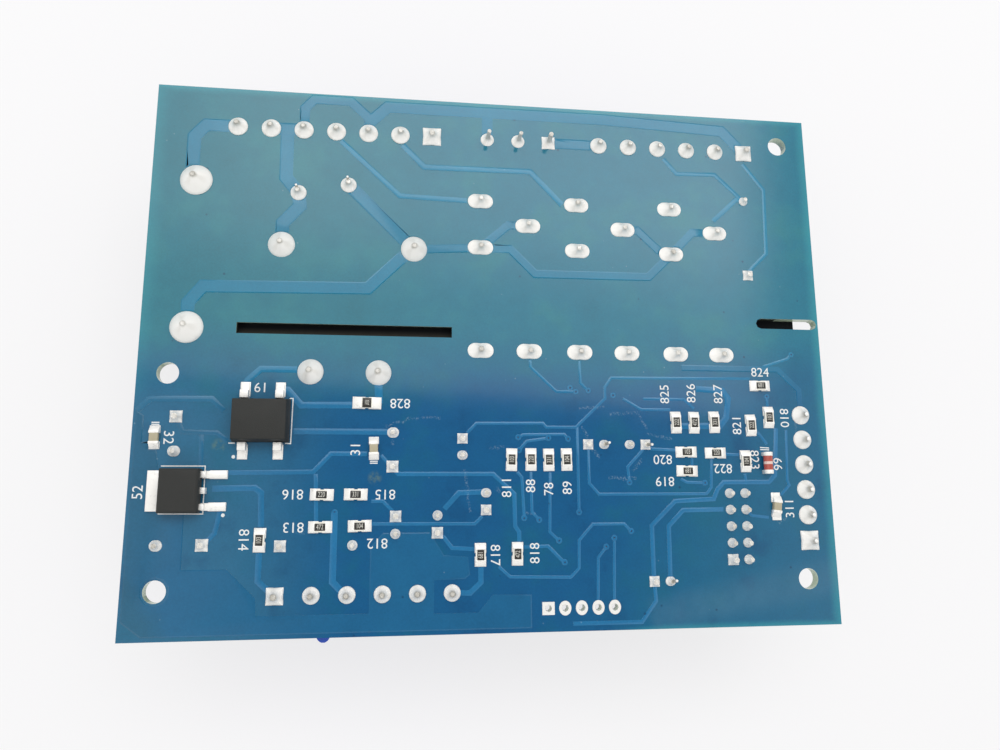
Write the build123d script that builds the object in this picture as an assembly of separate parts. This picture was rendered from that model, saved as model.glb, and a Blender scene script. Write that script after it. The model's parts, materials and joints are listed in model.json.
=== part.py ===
from build123d import *

import math
import os
from dataclasses import dataclass

# A boiler's control board, lying with its soldered side up on the transformer and the
# relays that hang from its other side.  All sizes are in millimetres: X runs along the
# board's long edge, Y along its short edge, and Z up from the table.

# ------------------------------------------------------------------ driving dimensions

board_length = 107.2
board_width = 84.0
board_thickness = 1.6
stand_height = 25.0  # height of the parts that carry the board
track_height = 0.1  # copper and the lacquer over it
seat_gap = 0.4  # air between a hanging part's body and the board
hole_clearance = 0.1  # between a lead and the side of its hole

mounting_hole_diameter = 3.2
slot_width = 1.7
power_pitch = 5.08  # the blue headers
signal_pitch = 3.96  # the white header on the right edge
fine_pitch = 2.54  # ribbon header, spare row and small two-lead parts
header_end = 3.4  # from the last post of a blue header to the end of its housing
top_gaps = (9.0, 2.27, 1.74, 7.75)  # left of, between and right of the top edge's headers

half_length = board_length / 2
half_width = board_width / 2
underside = stand_height
face = underside + board_thickness
long_way = board_length / 107.2  # places keep their share of the board's length
short_way = board_width / 84.0  # and of its width


def at(x, y):
    """A place on the board, which moves as the board is made longer or wider."""
    return x * long_way, y * short_way


top_row_y = half_width - 6.4
bottom_row_y = -half_width + 5.85
right_row_x = half_length - 4.25

mounting_holes = [
    (half_length - 4.9, half_width - 4.75),
    (half_length - 4.9, -half_width + 6.95),
    (-half_length + 4.65, -half_width + 6.75),
    (-half_length + 4.4, -4.0 * short_way),
]


# ------------------------------------------------------------------ small tools


def block(x, y, low, size_x, size_y, size_z):
    """A box over the place x, y that stands on the height low."""
    return Pos(x, y, low + size_z / 2) * Box(size_x, size_y, size_z)


def hung(x, y, size_x, size_y, size_z, drop=0.0):
    """A box whose top is drop below the board."""
    return block(x, y, underside - drop - size_z, size_x, size_y, size_z)


def rod(x, y, low, radius, height):
    """An upright cylinder over the place x, y."""
    return Pos(x, y, low + height / 2) * Cylinder(radius, height)


def row(x, y, count, pitch, along_x=True):
    """Evenly spaced places about x, y, from left to right or downwards."""
    step_x, step_y = (pitch, 0) if along_x else (0, -pitch)
    steps = [i - (count - 1) / 2 for i in range(count)]
    return [(x + step_x * step, y + step_y * step) for step in steps]


def top_edge_rows(counts):
    """The posts of the headers along the top edge, whose gaps share the free room."""
    lengths = [(count - 1) * power_pitch + 2 * header_end for count in counts]
    share = (board_length - sum(lengths)) / sum(top_gaps)
    rows = []
    left = -half_length
    for count, length, gap in zip(counts, lengths, top_gaps):
        left += gap * share
        rows.append(row(left + length / 2, top_row_y, count, power_pitch))
        left += length
    return rows


def flat_sided(rings):
    """A solid with flat faces through rings of equally many corners, lowest ring first."""
    count = len(rings[0])
    ends = [make_face(Polyline(*ring, close=True)).face() for ring in (rings[0], rings[-1])]
    sides = []
    for low, high in zip(rings, rings[1:]):
        for i in range(count):
            corners = (low[i - 1], low[i], high[i], high[i - 1])
            sides.append(make_face(Polyline(*corners, close=True)).face())
    return Solid(Shell(ends + sides))


def turned(steps, sides):
    """A many-sided round body about Z, from its (height, radius) steps, lowest first."""
    angles = [2 * math.pi * (i + 0.5) / sides for i in range(sides)]
    return flat_sided([
        [(radius * math.cos(angle), radius * math.sin(angle), height) for angle in angles]
        for height, radius in steps
    ])


def save(name, *pieces):
    """Write one node, whose pieces may each hold several solids."""
    solids = [solid for piece in pieces for solid in piece.solids()]
    export_step(Compound(children=solids), f"parts/{name}.step")


# ------------------------------------------------------------------ leads and joints


@dataclass
class Lead:
    """A lead through the board: its section, and the solder joint on its end."""

    x: float
    y: float
    thick: float
    joint_length: float
    joint_width: float
    joint_height: float
    on_square_land: bool = False
    bare_end: float = 0.0  # lead that stands out of the joint


def leads_at(places, thick, joint, height, square=(), bare_end=0.0):
    """Leads of one kind; square lists those whose joints sit on square lands."""
    return [
        Lead(x, y, thick, joint, joint, height, i in square, bare_end)
        for i, (x, y) in enumerate(places)
    ]


def tail(lead, low):
    """The lead's metal from the height low up to the soldered face."""
    return block(lead.x, lead.y, low, lead.thick, lead.thick, face - low)


def lead_hole(lead):
    """The opening in the board round one lead."""
    side = lead.thick + 2 * hole_clearance
    return block(lead.x, lead.y, underside - 1, side, side, board_thickness + 2)


def joint_corners(lead, length, width, height):
    """Outline at a height over the land: square, six-sided when small, or eight-sided."""
    a, b = length / 2, width / 2
    if lead.on_square_land:
        half = [(a, b), (-a, b)]
    elif lead.joint_length < small_joint:
        half = [(a, 0), (a / 2, b * 0.866), (-a / 2, b * 0.866)]
    else:
        cut = min(length, width) * 0.293
        half = [(a, b - cut), (a - cut, b), (cut - a, b), (-a, b - cut)]
    ring = half + [(-x, -y) for x, y in half]
    return [(lead.x + x, lead.y + y, face + height) for x, y in ring]


def solder_joint(lead):
    """A cone of solder that rises from its land to the tinned end of the lead."""
    foot = joint_corners(lead, lead.joint_length, lead.joint_width, 0)
    neck = joint_corners(lead, joint_neck, joint_neck, lead.joint_height)
    cone = flat_sided([foot, neck])
    if lead.bare_end:
        cone += block(lead.x, lead.y, face + lead.joint_height, 0.6, 0.6, lead.bare_end)
    return cone


def land(lead):
    """The room that a joint takes in the layer of wide copper."""
    corners = joint_corners(lead, lead.joint_length, lead.joint_width, 0)
    return extrude(make_face(Polyline(*corners, close=True)), track_height)


joint_neck = 0.9  # across the flat end of a joint
small_joint = 2.0  # joints narrower than this need fewer sides

supply_row, pump_row, load_row = top_edge_rows((7, 3, 6))
sensor_row = row(at(-19.75, 0)[0], bottom_row_y, 6, power_pitch)
panel_row = row(right_row_x, at(0, -19.3)[1], 6, signal_pitch, along_x=False)
ribbon_x, ribbon_y = at(37.8, -26.9)
ribbon_rows = [
    place
    for side in (-1, 1)
    for place in row(ribbon_x + side * fine_pitch / 2, ribbon_y, 5, fine_pitch, along_x=False)
]
spare_row = row(*at(12.38, -38.65), 5, fine_pitch)

supply_leads = leads_at(supply_row, 1.0, 3.0, 1.6, square=(6,))
pump_leads = leads_at(pump_row, 0.8, 2.2, 1.0, square=(2,), bare_end=2.2)
load_leads = leads_at(load_row, 1.0, 2.8, 1.6, square=(5,))
sensor_leads = leads_at(sensor_row, 1.0, 2.5, 1.5, square=(0,))
panel_leads = leads_at(panel_row, 1.1, 3.0, 1.7, square=(5,))
ribbon_leads = leads_at(ribbon_rows, 0.64, 1.7, 1.4, square=(4,))

# The transformer straddles the long slot, its two pin rows on either side.
transformer_x, transformer_y = at(-23.55, 6.45)
pin_row_gap = 19.9
primary_spread = 20.4
secondary_spread = 10.16
primary_leads = leads_at(
    row(transformer_x, transformer_y + pin_row_gap / 2, 2, primary_spread), 1.0, 4.1, 2.0
)
secondary_leads = leads_at(
    row(transformer_x, transformer_y - pin_row_gap / 2, 2, secondary_spread), 1.0, 3.9, 2.0
)

# Each relay has two coil pins at its foot and three contact pins at its head.
relay_pitch = 15.8
relay_places = [at(1.05 + relay_pitch * i, 12.5) for i in range(3)]
relay_pin_spread = 7.7  # across the two rows of pins
coil_offset = 12.2  # from the relay's middle down to its coil pins
changeover_offset = 8.5  # and up to the changeover pin
contact_spread = 7.8  # between the two fixed contacts
relay_joint_length = 4.1  # the relays' lands are drawn out
relay_joint_width = 2.4


def relay_leads(x, y):
    """Five pins under the relay centred on x, y, with their drawn-out joints."""
    left, right = x - relay_pin_spread / 2, x + relay_pin_spread / 2
    coil_y = y - coil_offset
    coil = [(left, coil_y), (right, coil_y)]
    changeover_y = y + changeover_offset
    contacts = [
        (left, changeover_y + contact_spread / 2),
        (left, changeover_y - contact_spread / 2),
        (right, changeover_y),
    ]
    pins = [Lead(px, py, 0.8, relay_joint_length, relay_joint_width, 1.4) for px, py in coil]
    pins += [Lead(px, py, 1.0, relay_joint_length, relay_joint_width, 1.5) for px, py in contacts]
    return pins


relay_pins = [relay_leads(*place) for place in relay_places]

fuse_x = -half_length + 6.6
fuse_ends = [(fuse_x, 26.35 * short_way), (fuse_x, 3.0 * short_way)]
fuse_leads = leads_at(fuse_ends, 1.2, 4.9, 2.2)

varistor_leads = leads_at([at(-31.5, 25.0), at(-23.8, 26.65)], 0.8, 2.5, 1.4)

can_ends = [
    (at(-42.9, -28.9), at(-49.2, -28.9)),
    (at(-47.6, -10.45), at(-47.6, -15.5)),
    (at(-16.1, -17.7), at(-16.1, -12.6)),
]
can_leads = [leads_at(ends, 0.6, 1.8, 1.0, square=(0,)) for ends in can_ends]

diode_ends = [
    (at(41.9, 13.9), at(41.9, 26.9)),
    (at(-32.0, -29.15), at(-21.7, -29.15)),
]
diode_leads = [leads_at(ends, 0.7, 1.7, 1.0, square=(0,)) for ends in diode_ends]

# Two-lead parts on the fine pitch; the first lead of each sits on the square land.
disc_cap_places = [at(-5.6, -14.7), at(-2.0, -22.9), at(21.9, -14.25)]
disc_cap_turns = [(0, 1), (0, -1), (1, 0)]
link_places = [at(-15.5, -26.3), at(-9.3, -26.2)]
link_turns = [(0, 1), (0, -1)]
lamp_places = [at(15.25, -14.25), at(25.05, -35.05)]


def pair(place, turn):
    """Two places a fine pitch apart; the first lies towards turn."""
    half_x, half_y = turn[0] * fine_pitch / 2, turn[1] * fine_pitch / 2
    return [(place[0] + half_x, place[1] + half_y), (place[0] - half_x, place[1] - half_y)]


disc_cap_leads = [
    leads_at(pair(place, turn), 0.5, 1.6, 0.9, square=(0,))
    for place, turn in zip(disc_cap_places, disc_cap_turns)
]
link_leads = [
    leads_at(pair(place, turn), 0.64, 1.7, 1.2, square=(0,))
    for place, turn in zip(link_places, link_turns)
]
lamp_leads = [leads_at(pair(place, (-1, 0)), 0.5, 1.6, 0.9, square=(0,)) for place in lamp_places]

all_leads = [
    *supply_leads, *pump_leads, *load_leads, *sensor_leads, *panel_leads, *ribbon_leads,
    *primary_leads, *secondary_leads, *fuse_leads, *varistor_leads,
]
for group in relay_pins + can_leads + diode_leads + disc_cap_leads + link_leads + lamp_leads:
    all_leads += group


# ------------------------------------------------------------------ bare board


long_slot_length = 32.5
long_slot_offset = 3.35  # from the transformer's middle
edge_slot_start = at(42.8, 5.75)
edge_web = 0.3  # board left between the edge slot and the edge
spare_hole = 1.0  # across the holes of the empty row


def long_slot():
    """The cut under the transformer that parts the mains side from the low side."""
    y = transformer_y - long_slot_offset
    return block(transformer_x, y, underside - 1, long_slot_length, slot_width, board_thickness + 2)


def edge_slot():
    """The round-ended cut at the right, closed by a thin web at the board's edge."""
    left, y = edge_slot_start
    right = half_length - edge_web
    radius = slot_width / 2
    angles = [math.radians(45 * i) for i in range(-2, 3)]
    end = [(right - radius + radius * math.cos(a), y + radius * math.sin(a)) for a in angles]
    start = [(left + right - end_x, 2 * y - end_y) for end_x, end_y in end]
    outline = make_face(Polyline(*end, *start, close=True))
    return Pos(0, 0, underside - 1) * extrude(outline, board_thickness + 2)


def circuit_board():
    """The glass-fibre board with its holes and slots."""
    board = block(0, 0, underside, board_length, board_width, board_thickness)
    cuts = [lead_hole(lead) for lead in all_leads]
    cuts += [long_slot(), edge_slot()]
    for x, y in mounting_holes:
        cuts.append(rod(x, y, underside - 1, mounting_hole_diameter / 2, board_thickness + 2))
    small_hole = turned([(-1, spare_hole / 2), (board_thickness + 1, spare_hole / 2)], 8)
    cuts += [Pos(x, y, underside) * small_hole for x, y in spare_row]
    return board - cuts


# ------------------------------------------------------------------ copper


copper_margin = 0.3  # between the copper and a mounting hole


def ribbon(points, width):
    """A track of even width along the points, with mitred bends."""
    line = [Vector(*at(x, y)) for x, y in points]
    left, right = [], []
    for i, here in enumerate(line):
        before = (here - line[i - 1]).normalized() if i else (line[1] - here).normalized()
        after = (line[i + 1] - here).normalized() if i + 1 < len(line) else before
        across = Vector(-before.Y - after.Y, before.X + after.X).normalized()
        reach = width / 2 / across.dot(Vector(-before.Y, before.X))
        left.append(here + across * reach)
        right.append(here - across * reach)
    return make_face(Polyline(*left, *reversed(right), close=True))


def ground_area():
    """The wide copper over the low-voltage corner at the bottom left."""
    corners = [
        (-53.2, -39.3), (-50.4, -41.4), (4.8, -41.4), (4.8, -36.6), (-1.0, -36.5), (-3.2, -39.0),
        (-9.7, -39.0), (-9.7, -34.3), (-5.2, -34.2), (-4.4, -33.6), (-4.7, -31.0), (-8.3, -30.7),
        (-10.4, -27.4), (-17.3, -27.4), (-19.1, -29.4), (-19.1, -38.8), (-35.0, -38.8),
        (-35.1, -36.4), (-39.3, -32.3), (-45.5, -32.3), (-45.6, -21.0), (-49.5, -18.5), (-50.2, -14.2),
        (-52.1, -14.2), (-52.1, -10.3), (-53.2, -9.6),
    ]
    return make_face(Polyline(*[at(x, y) for x, y in corners], close=True))


# The mains tracks and the feed of the panel header: width, then the bends end to end.
heavy_tracks = [
    (2.1, [(-41.2, 35.6), (-46.0, 35.6), (-47.7, 33.6), (-47.7, 28.6), (-47.0, 26.3)]),
    (2.1, [(-36.1, 35.6), (-31.0, 35.6)]),
    (2.1, [(-33.6, 35.6), (-33.5, 27.4), (-31.5, 25.0), (-31.2, 22.8), (-33.7, 19.9), (-33.8, 16.4)]),
    (1.6, [(-31.0, 35.6), (-31.0, 39.4), (-29.6, 41.0), (-23.8, 41.0), (-20.9, 38.3), (-20.9, 35.6)]),
    (2.0, [(-20.9, 37.4), (-17.9, 40.4), (17.5, 40.4), (38.8, 39.5), (42.4, 35.6)]),
    (1.8, [(-1.65, 35.6), (-1.65, 40.4)]),
    (1.8, [(8.5, 35.6), (17.1, 35.6)]),
    (2.1, [(-23.8, 26.7), (-13.4, 16.4)]),
    (1.4, [(-13.4, 16.4), (-2.8, 17.0), (2.0, 17.0), (6.0, 13.0), (24.8, 13.1), (28.8, 17.0)]),
    (1.4, [(28.8, 17.0), (32.6, 21.0), (36.5, 21.0)]),
    (1.4, [(20.7, 21.0), (23.2, 21.0), (27.2, 17.2)]),
    (1.4, [(-2.8, 17.0), (1.7, 21.0), (4.9, 21.0)]),
    (2.0, [(-13.4, 16.4), (-15.5, 14.7), (-20.4, 9.8), (-45.0, 9.4), (-47.0, 6.8), (-47.0, 3.0)]),
    (1.0, [(29.6, -1.9), (45.9, -1.9), (49.35, -5.3), (49.35, -9.4)]),
]


def power_tracks():
    """All the wide copper as one raised layer, open where the solder joints stand."""
    copper = ground_area()
    for width, points in heavy_tracks:
        copper += ribbon(points, width)
    layer = Pos(0, 0, face) * extrude(copper, track_height)
    radius = mounting_hole_diameter / 2 + copper_margin
    clearing = turned([(-1, radius), (1, radius)], 10)
    clearings = [Pos(x, y, face) * clearing for x, y in mounting_holes]
    return layer - [land(lead) for lead in all_leads] - mounted_part_shadows() - clearings


# ------------------------------------------------------------------ parts on the soldered side

chip_length = 3.45  # over the soldered ends of the small chips
chip_width = 1.5
chip_height = 0.55
chip_end = 0.9
chip_solder = 0.15  # by which the solder is wider than the chip
long_chip_length = 4.4
long_chip_width = 1.7

upright_resistors = [
    (-34.9, -28.25), (-2.9, -30.75), (2.75, -30.7), (1.9, -16.65), (4.9, -16.65), (7.65, -16.65),
    (10.5, -16.65), (28.3, -10.7), (31.25, -10.75), (34.55, -10.7), (43.8, -9.75), (40.65, -11.1),
    (39.5, -16.85),
]
level_resistors = [
    (-26.35, -21.8), (-21.45, -21.8), (-26.4, -26.45), (-20.7, -26.4), (29.75, -15.4),
    (29.7, -18.35), (34.5, -15.55), (42.7, -4.7),
]
long_resistor = (-20.1, -8.2)
upright_capacitors = [(-50.35, -13.5), (-18.9, -15.0), (44.1, -23.9)]
glass_diode_place = at(42.9, -17.1)

bridge_x, bridge_y = at(-35.4, -10.95)
bridge_length = 8.3
bridge_width = 6.5
bridge_height = 2.6
bridge_reach = 11.4  # over the ends of its leads

regulator_x, regulator_y = at(-46.1, -21.2)
regulator_length = 5.5
regulator_width = 6.3
regulator_height = 2.3
regulator_tab_reach = 2.0
regulator_lead_reach = 3.5
regulator_lead_spread = 4.6


def chip(place, upright, length=chip_length, width=chip_width):
    """The body and the two soldered ends of a small chip part."""
    x, y = at(*place)
    turn = 90 if upright else 0
    body = block(0, 0, track_height, length - 2 * chip_end, width, chip_height)
    end_height = track_height + chip_height + 0.05
    ends = [
        block(side * (length - chip_end) / 2, 0, 0, chip_end, width + chip_solder, end_height)
        for side in (-1, 1)
    ]
    place_it = Pos(x, y, face) * Rot(0, 0, turn)
    return place_it * body, [place_it * end for end in ends]


def chip_resistors():
    """Every resistor chip, as all the bodies and then all the ends."""
    chips = [chip(place, True) for place in upright_resistors]
    chips += [chip(place, False) for place in level_resistors]
    chips.append(chip(long_resistor, False, long_chip_length, long_chip_width))
    return [body for body, _ in chips], [end for _, ends in chips for end in ends]


def chip_capacitors():
    """The three ceramic chips."""
    chips = [chip(place, True) for place in upright_capacitors]
    return [body for body, _ in chips], [end for _, ends in chips for end in ends]


def glass_diode():
    """A round glass diode lying along Y between its two metal caps."""
    x, y = glass_diode_place
    radius, length, cap = 0.75, 3.4, 0.6
    lie = Pos(x, y, face + track_height + radius) * Rot(90, 0, 0)
    inner = length / 2 - cap
    glass = lie * turned([(-inner, radius - 0.05), (inner, radius - 0.05)], 12)
    caps = []
    for side in (-1, 1):
        middle = side * (length - cap) / 2
        drum = turned([(middle - cap / 2, radius), (middle + cap / 2, radius)], 12)
        caps.append(lie * drum + block(x, y - middle, face, 1.4, cap, radius + track_height))
    return glass, caps


def bridge_rectifier():
    """A moulded block with sloping sides, and four flat leads bent down to the board."""
    low = face + track_height + 0.1
    foot = Pos(bridge_x, bridge_y, low) * Rectangle(bridge_length, bridge_width)
    body = extrude(foot, bridge_height, taper=7)
    leads = []
    for side_x in (-1, 1):
        for side_y in (-1, 1):
            x = bridge_x + side_x * power_pitch / 2
            reach = (bridge_reach - bridge_width) / 2
            y = bridge_y + side_y * (bridge_width + reach) / 2
            toe = block(x, y, face, 1.2, reach, 0.35)
            leads.append(toe + block(x, y - side_y * reach / 4, face, 1.2, reach / 2, 1.3))
    return body, [lead - body for lead in leads]


def regulator():
    """A moulded block with a wide tab at its left and leads at its right."""
    low = face + track_height + 0.1
    body = block(regulator_x, regulator_y, low, regulator_length, regulator_width, regulator_height)
    top_edges = body.faces().sort_by(Axis.Z)[-1].edges()
    body = chamfer(top_edges, 0.35)
    left = regulator_x - regulator_length / 2
    right = regulator_x + regulator_length / 2
    tab_width = regulator_width - 0.5
    metal = [block(left - regulator_tab_reach / 2, regulator_y, face, regulator_tab_reach, tab_width, 0.6)]
    for side in (-1, 1):
        y = regulator_y + side * regulator_lead_spread / 2
        knee = block(right + 0.35, y, face, 0.7, 0.9, 1.3)
        toe = block(right + regulator_lead_reach / 2, y, face, regulator_lead_reach, 1.1, 0.4)
        metal.append(knee + toe)
    metal.append(block(right + 0.35, regulator_y, face, 0.7, 0.9, 1.2))
    return body, metal


def mounted_part_shadows():
    """Room that the wide copper leaves for the soldered ends of surface parts."""
    _, resistor_ends = chip_resistors()
    _, capacitor_ends = chip_capacitors()
    _, bridge_leads = bridge_rectifier()
    _, regulator_metal = regulator()
    return [*resistor_ends, *capacitor_ends, *bridge_leads, *regulator_metal]


# ------------------------------------------------------------------ transformer

core_length = 30.0
core_stack = 12.5
core_limb = 5.0  # outer limbs and yokes; the middle limb is twice as wide
core_height = stand_height - seat_gap
window_width = (core_length - 4 * core_limb) / 2
window_height = core_height - 2 * core_limb
bobbin_length = 28.6
bobbin_depth = 26.8
flange = 1.2


def transformer_core():
    """Stacked E and I plates: a block with two windows for the windings."""
    core = block(transformer_x, transformer_y, 0, core_length, core_stack, core_height)
    for side in (-1, 1):
        x = transformer_x + side * (core_limb + window_width / 2)
        core -= block(x, transformer_y, core_limb, window_width, core_stack + 2, window_height)
    return core


barrier_depth = 12.0  # down from the board's underside
barrier_collar = 0.8
barrier_lap = 0.4  # over the sides and ends of its slot
barrier_free_end = 3.5  # from the board's edge


def slot_barriers():
    """Black strips that close both slots from below; the edge slot's strip stands on as a wall."""
    long_y = transformer_y - long_slot_offset
    long_lap = 2 * barrier_lap
    strip = block(
        transformer_x, long_y, core_height, long_slot_length + long_lap, slot_width + long_lap, seat_gap
    )
    left, edge_y = edge_slot_start
    reach = half_length - barrier_free_end - left + barrier_lap
    middle = half_length - barrier_free_end - reach / 2
    collar_low = underside - barrier_collar
    collar = block(middle, edge_y, collar_low, reach, slot_width + 2 * barrier_collar, barrier_collar)
    wall = block(middle, edge_y, underside - barrier_depth, reach, slot_width, barrier_depth)
    return strip, collar + wall


def transformer_bobbin():
    """A tube round the middle limb, three flanges and the two feet with the pins."""
    inside = 2 * (core_limb + window_width) - 2 * hole_clearance
    low, high = core_limb, core_limb + window_height
    limb = block(transformer_x, transformer_y, low - 1, 2 * core_limb, core_stack, window_height + 2)
    tube = block(transformer_x, transformer_y, low, 2 * core_limb + 1.6, core_stack + 1.6, window_height)
    bobbin = tube
    for z in (low, (low + high - flange) / 2, high - flange):
        bobbin += block(transformer_x, transformer_y, z, inside, bobbin_depth, flange)
    for side in (-1, 1):
        depth = (bobbin_depth - core_stack) / 2 - 1.0
        y = transformer_y + side * (bobbin_depth - depth) / 2
        bobbin += block(transformer_x, y, high - flange, inside, depth, underside - high + flange)
        bobbin += block(transformer_x, y, high, bobbin_length, depth, underside - high)
    for lead in primary_leads + secondary_leads:
        bobbin -= block(lead.x, lead.y, underside - 4, lead.thick, lead.thick, 5)
    return bobbin - limb


def transformer_windings():
    """The two wound coils, one in each half of the bobbin."""
    inside = 2 * (core_limb + window_width) - 1.2
    chamber = (window_height - 3 * flange) / 2
    coils = []
    for i in range(2):
        z = core_limb + flange + i * (chamber + flange)
        coil = block(transformer_x, transformer_y, z, inside, bobbin_depth - 1.6, chamber)
        coil = chamfer(coil.edges().filter_by(Axis.Z), 1.6)
        tube = block(transformer_x, transformer_y, z, 2 * core_limb + 1.6, core_stack + 1.6, chamber)
        coils.append(coil - tube)
    return coils


def transformer_pins():
    """Four pins pressed into the feet of the bobbin."""
    return [tail(lead, underside - 4) for lead in primary_leads + secondary_leads]


# ------------------------------------------------------------------ relays

relay_length = 28.8
relay_width = 12.7
relay_base_height = 1.8


def relay_case(x, y):
    """The moulded cover of one relay, its outer corners eased."""
    height = stand_height - relay_base_height
    case = block(x, y, 0, relay_width, relay_length, height)
    low_edges = case.faces().sort_by(Axis.Z)[0].edges()
    return chamfer(case.edges().filter_by(Axis.Z) + low_edges, 0.6)


def relay_base(x, y):
    """The plate that closes the cover and seats on the board."""
    low = stand_height - relay_base_height
    return block(x, y, low, relay_width - 0.6, relay_length - 0.6, relay_base_height)


# ------------------------------------------------------------------ fuse and varistor

fuse_radius = 2.6
fuse_length = 20.0
fuse_cap_length = 5.5
fuse_base_width = 9.0
fuse_base_height = 2.4
fuse_y = (fuse_ends[0][1] + fuse_ends[1][1]) / 2
fuse_z = underside - fuse_base_height - 1.6 - fuse_radius
clip_metal = 0.4


def fuse_base():
    """A moulded strip between the two clips and the board, with raised end walls."""
    length = fuse_ends[0][1] - fuse_ends[1][1] + 5.0
    base = hung(fuse_x, fuse_y, fuse_base_width, length, fuse_base_height)
    for side in (-1, 1):
        y = fuse_y + side * (length / 2 - 0.6)
        base += hung(fuse_x, y, fuse_base_width, 1.2, fuse_base_height + 4.0)
    for lead in fuse_leads:
        base -= block(lead.x, lead.y, underside - 8, lead.thick, lead.thick, 10)
    return base


def fuse_clip(lead, side):
    """A sprung clip whose two arms grip the fuse's cap, and its pin through the board."""
    outer, throat, lip = fuse_radius + clip_metal, fuse_radius - 0.5, fuse_radius + 0.9
    drop = fuse_base_height
    seat = underside - drop - fuse_z  # height of the clip's back over the fuse's middle
    half = [
        (0, seat), (outer, seat), (outer, -0.6), (throat + clip_metal, -2.0), (lip, -3.2),
        (lip - 0.45, -3.4), (throat, -2.1), (fuse_radius, -0.6), (fuse_radius, seat - clip_metal),
        (0, seat - clip_metal),
    ]
    outline = half[1:-1] + [(-x, z) for x, z in reversed(half[1:-1])]
    strip = make_face(Polyline(*outline, close=True))
    arms = extrude(Plane.XZ * strip, fuse_cap_length - 1.0)
    cap_middle = fuse_y + side * (fuse_length - fuse_cap_length) / 2
    arms = Pos(fuse_x, cap_middle + (fuse_cap_length - 1.0) / 2, fuse_z) * arms
    reach = abs(lead.y - cap_middle) + lead.thick / 2
    back_y = cap_middle + side * reach / 2
    back = hung(fuse_x, back_y, 2 * outer, reach, clip_metal, drop)
    stop = hung(fuse_x, cap_middle + side * (reach - clip_metal / 2), 3.0, clip_metal, 4.0, drop)
    pin = tail(lead, underside - drop - clip_metal)
    return arms + back + stop + pin


def fuse():
    """The glass tube and its two metal caps."""
    lie = Pos(fuse_x, fuse_y, fuse_z) * Rot(90, 0, 0)
    outer, inner = fuse_length / 2, fuse_length / 2 - fuse_cap_length
    glass = lie * turned([(-inner, fuse_radius - 0.2), (inner, fuse_radius - 0.2)], 12)
    spans = [(-outer, -inner), (inner, outer)]
    caps = [lie * turned([(low, fuse_radius), (high, fuse_radius)], 12) for low, high in spans]
    return glass, caps


varistor_radius = 7.0
varistor_thickness = 4.4


def varistor_disc():
    """A dipped disc that stands on edge in line with its two leads."""
    first, second = varistor_leads
    across = Vector(second.x - first.x, second.y - first.y)
    middle_x, middle_y = (first.x + second.x) / 2, (first.y + second.y) / 2
    half, ease = varistor_thickness / 2, 1.1
    steps = [(-half, -ease), (ease - half, 0), (half - ease, 0), (half, -ease)]
    disc = turned([(height, varistor_radius + change) for height, change in steps], 14)
    turn = across.get_signed_angle(Vector(1, 0, 0)) * -1
    middle_z = underside - 1.5 - varistor_radius
    disc = Pos(middle_x, middle_y, middle_z) * Rot(0, 0, turn) * Rot(90, 0, 0) * disc
    return disc - [tail(lead, varistor_lead_low) for lead in varistor_leads]


varistor_lead_low = underside - 1.5 - varistor_radius * 0.4


# ------------------------------------------------------------------ headers

header_height = 11.5
header_wall = 1.0
header_floor = 2.0
header_inner = 3.5  # from the posts to the side away from the board's edge
key_radius = 1.0


def power_header(leads, edge):
    """A shrouded housing along the top (edge 1) or bottom (edge -1) of the board."""
    first, last = leads[0], leads[-1]
    middle = (first.x + last.x) / 2
    length = last.x - first.x + 2 * header_end
    outer_y = edge * half_width
    inner_y = first.y - edge * header_inner
    width = abs(outer_y - inner_y)
    y = (outer_y + inner_y) / 2
    depth = header_height - header_floor
    housing = hung(middle, y, length, width, header_height)
    housing -= hung(
        middle, y, length - 2 * header_wall, width - 2 * header_wall, depth + 1, header_floor
    )
    for lead in leads[:-1]:
        comb_y = inner_y + edge * (header_wall + 0.8)
        housing += hung(lead.x + power_pitch / 2, comb_y, 0.8, 1.6, depth - 1.5, header_floor)
    key_x = leads[1].x + 1.75
    key = turned([(-header_height, key_radius), (0, key_radius)], 12)
    outside = hung(key_x, outer_y + edge, 4, 2, header_height)
    housing += (Pos(key_x, outer_y, underside) * key) & outside
    return housing - [tail(lead, underside - 5) for lead in leads]


def header_posts(leads, length):
    """Square posts that stand length below the board."""
    return [tail(lead, underside - length) for lead in leads]


panel_base_height = 3.4
panel_height = 10.5


def panel_header():
    """An open header on the right edge: a thick base and a tall locking wall."""
    first, last = panel_leads[0], panel_leads[-1]
    y = (first.y + last.y) / 2
    length = first.y - last.y + signal_pitch
    base = hung(right_row_x, y, 8.0, length, panel_base_height)
    wall_x = right_row_x - 8.0 / 2 + 0.6
    wall = hung(wall_x, y, 1.2, length, panel_height)
    for lead in panel_leads[:-1]:
        notch_y = lead.y - signal_pitch / 2
        wall -= hung(wall_x, notch_y, 2, 1.2, 4.0, panel_height - 4.0)
    return base + wall - [tail(lead, underside - 4) for lead in panel_leads]


ribbon_height = 9.1


def ribbon_header():
    """A boxed header for a ribbon cable, with its polarising notch."""
    length = 4 * fine_pitch + 10.2
    housing = hung(ribbon_x, ribbon_y, 9.0, length, ribbon_height)
    housing -= hung(ribbon_x, ribbon_y, 6.6, length - 2.4, ribbon_height, 2.5)
    housing -= hung(ribbon_x - 4.5, ribbon_y, 3.0, 4.5, ribbon_height, 2.5)
    return housing - [tail(lead, underside - 3) for lead in ribbon_leads]


# ------------------------------------------------------------------ cans, diodes, small parts

can_radius = 5.0
can_heights = [16.0, 16.0, 12.5]


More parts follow.
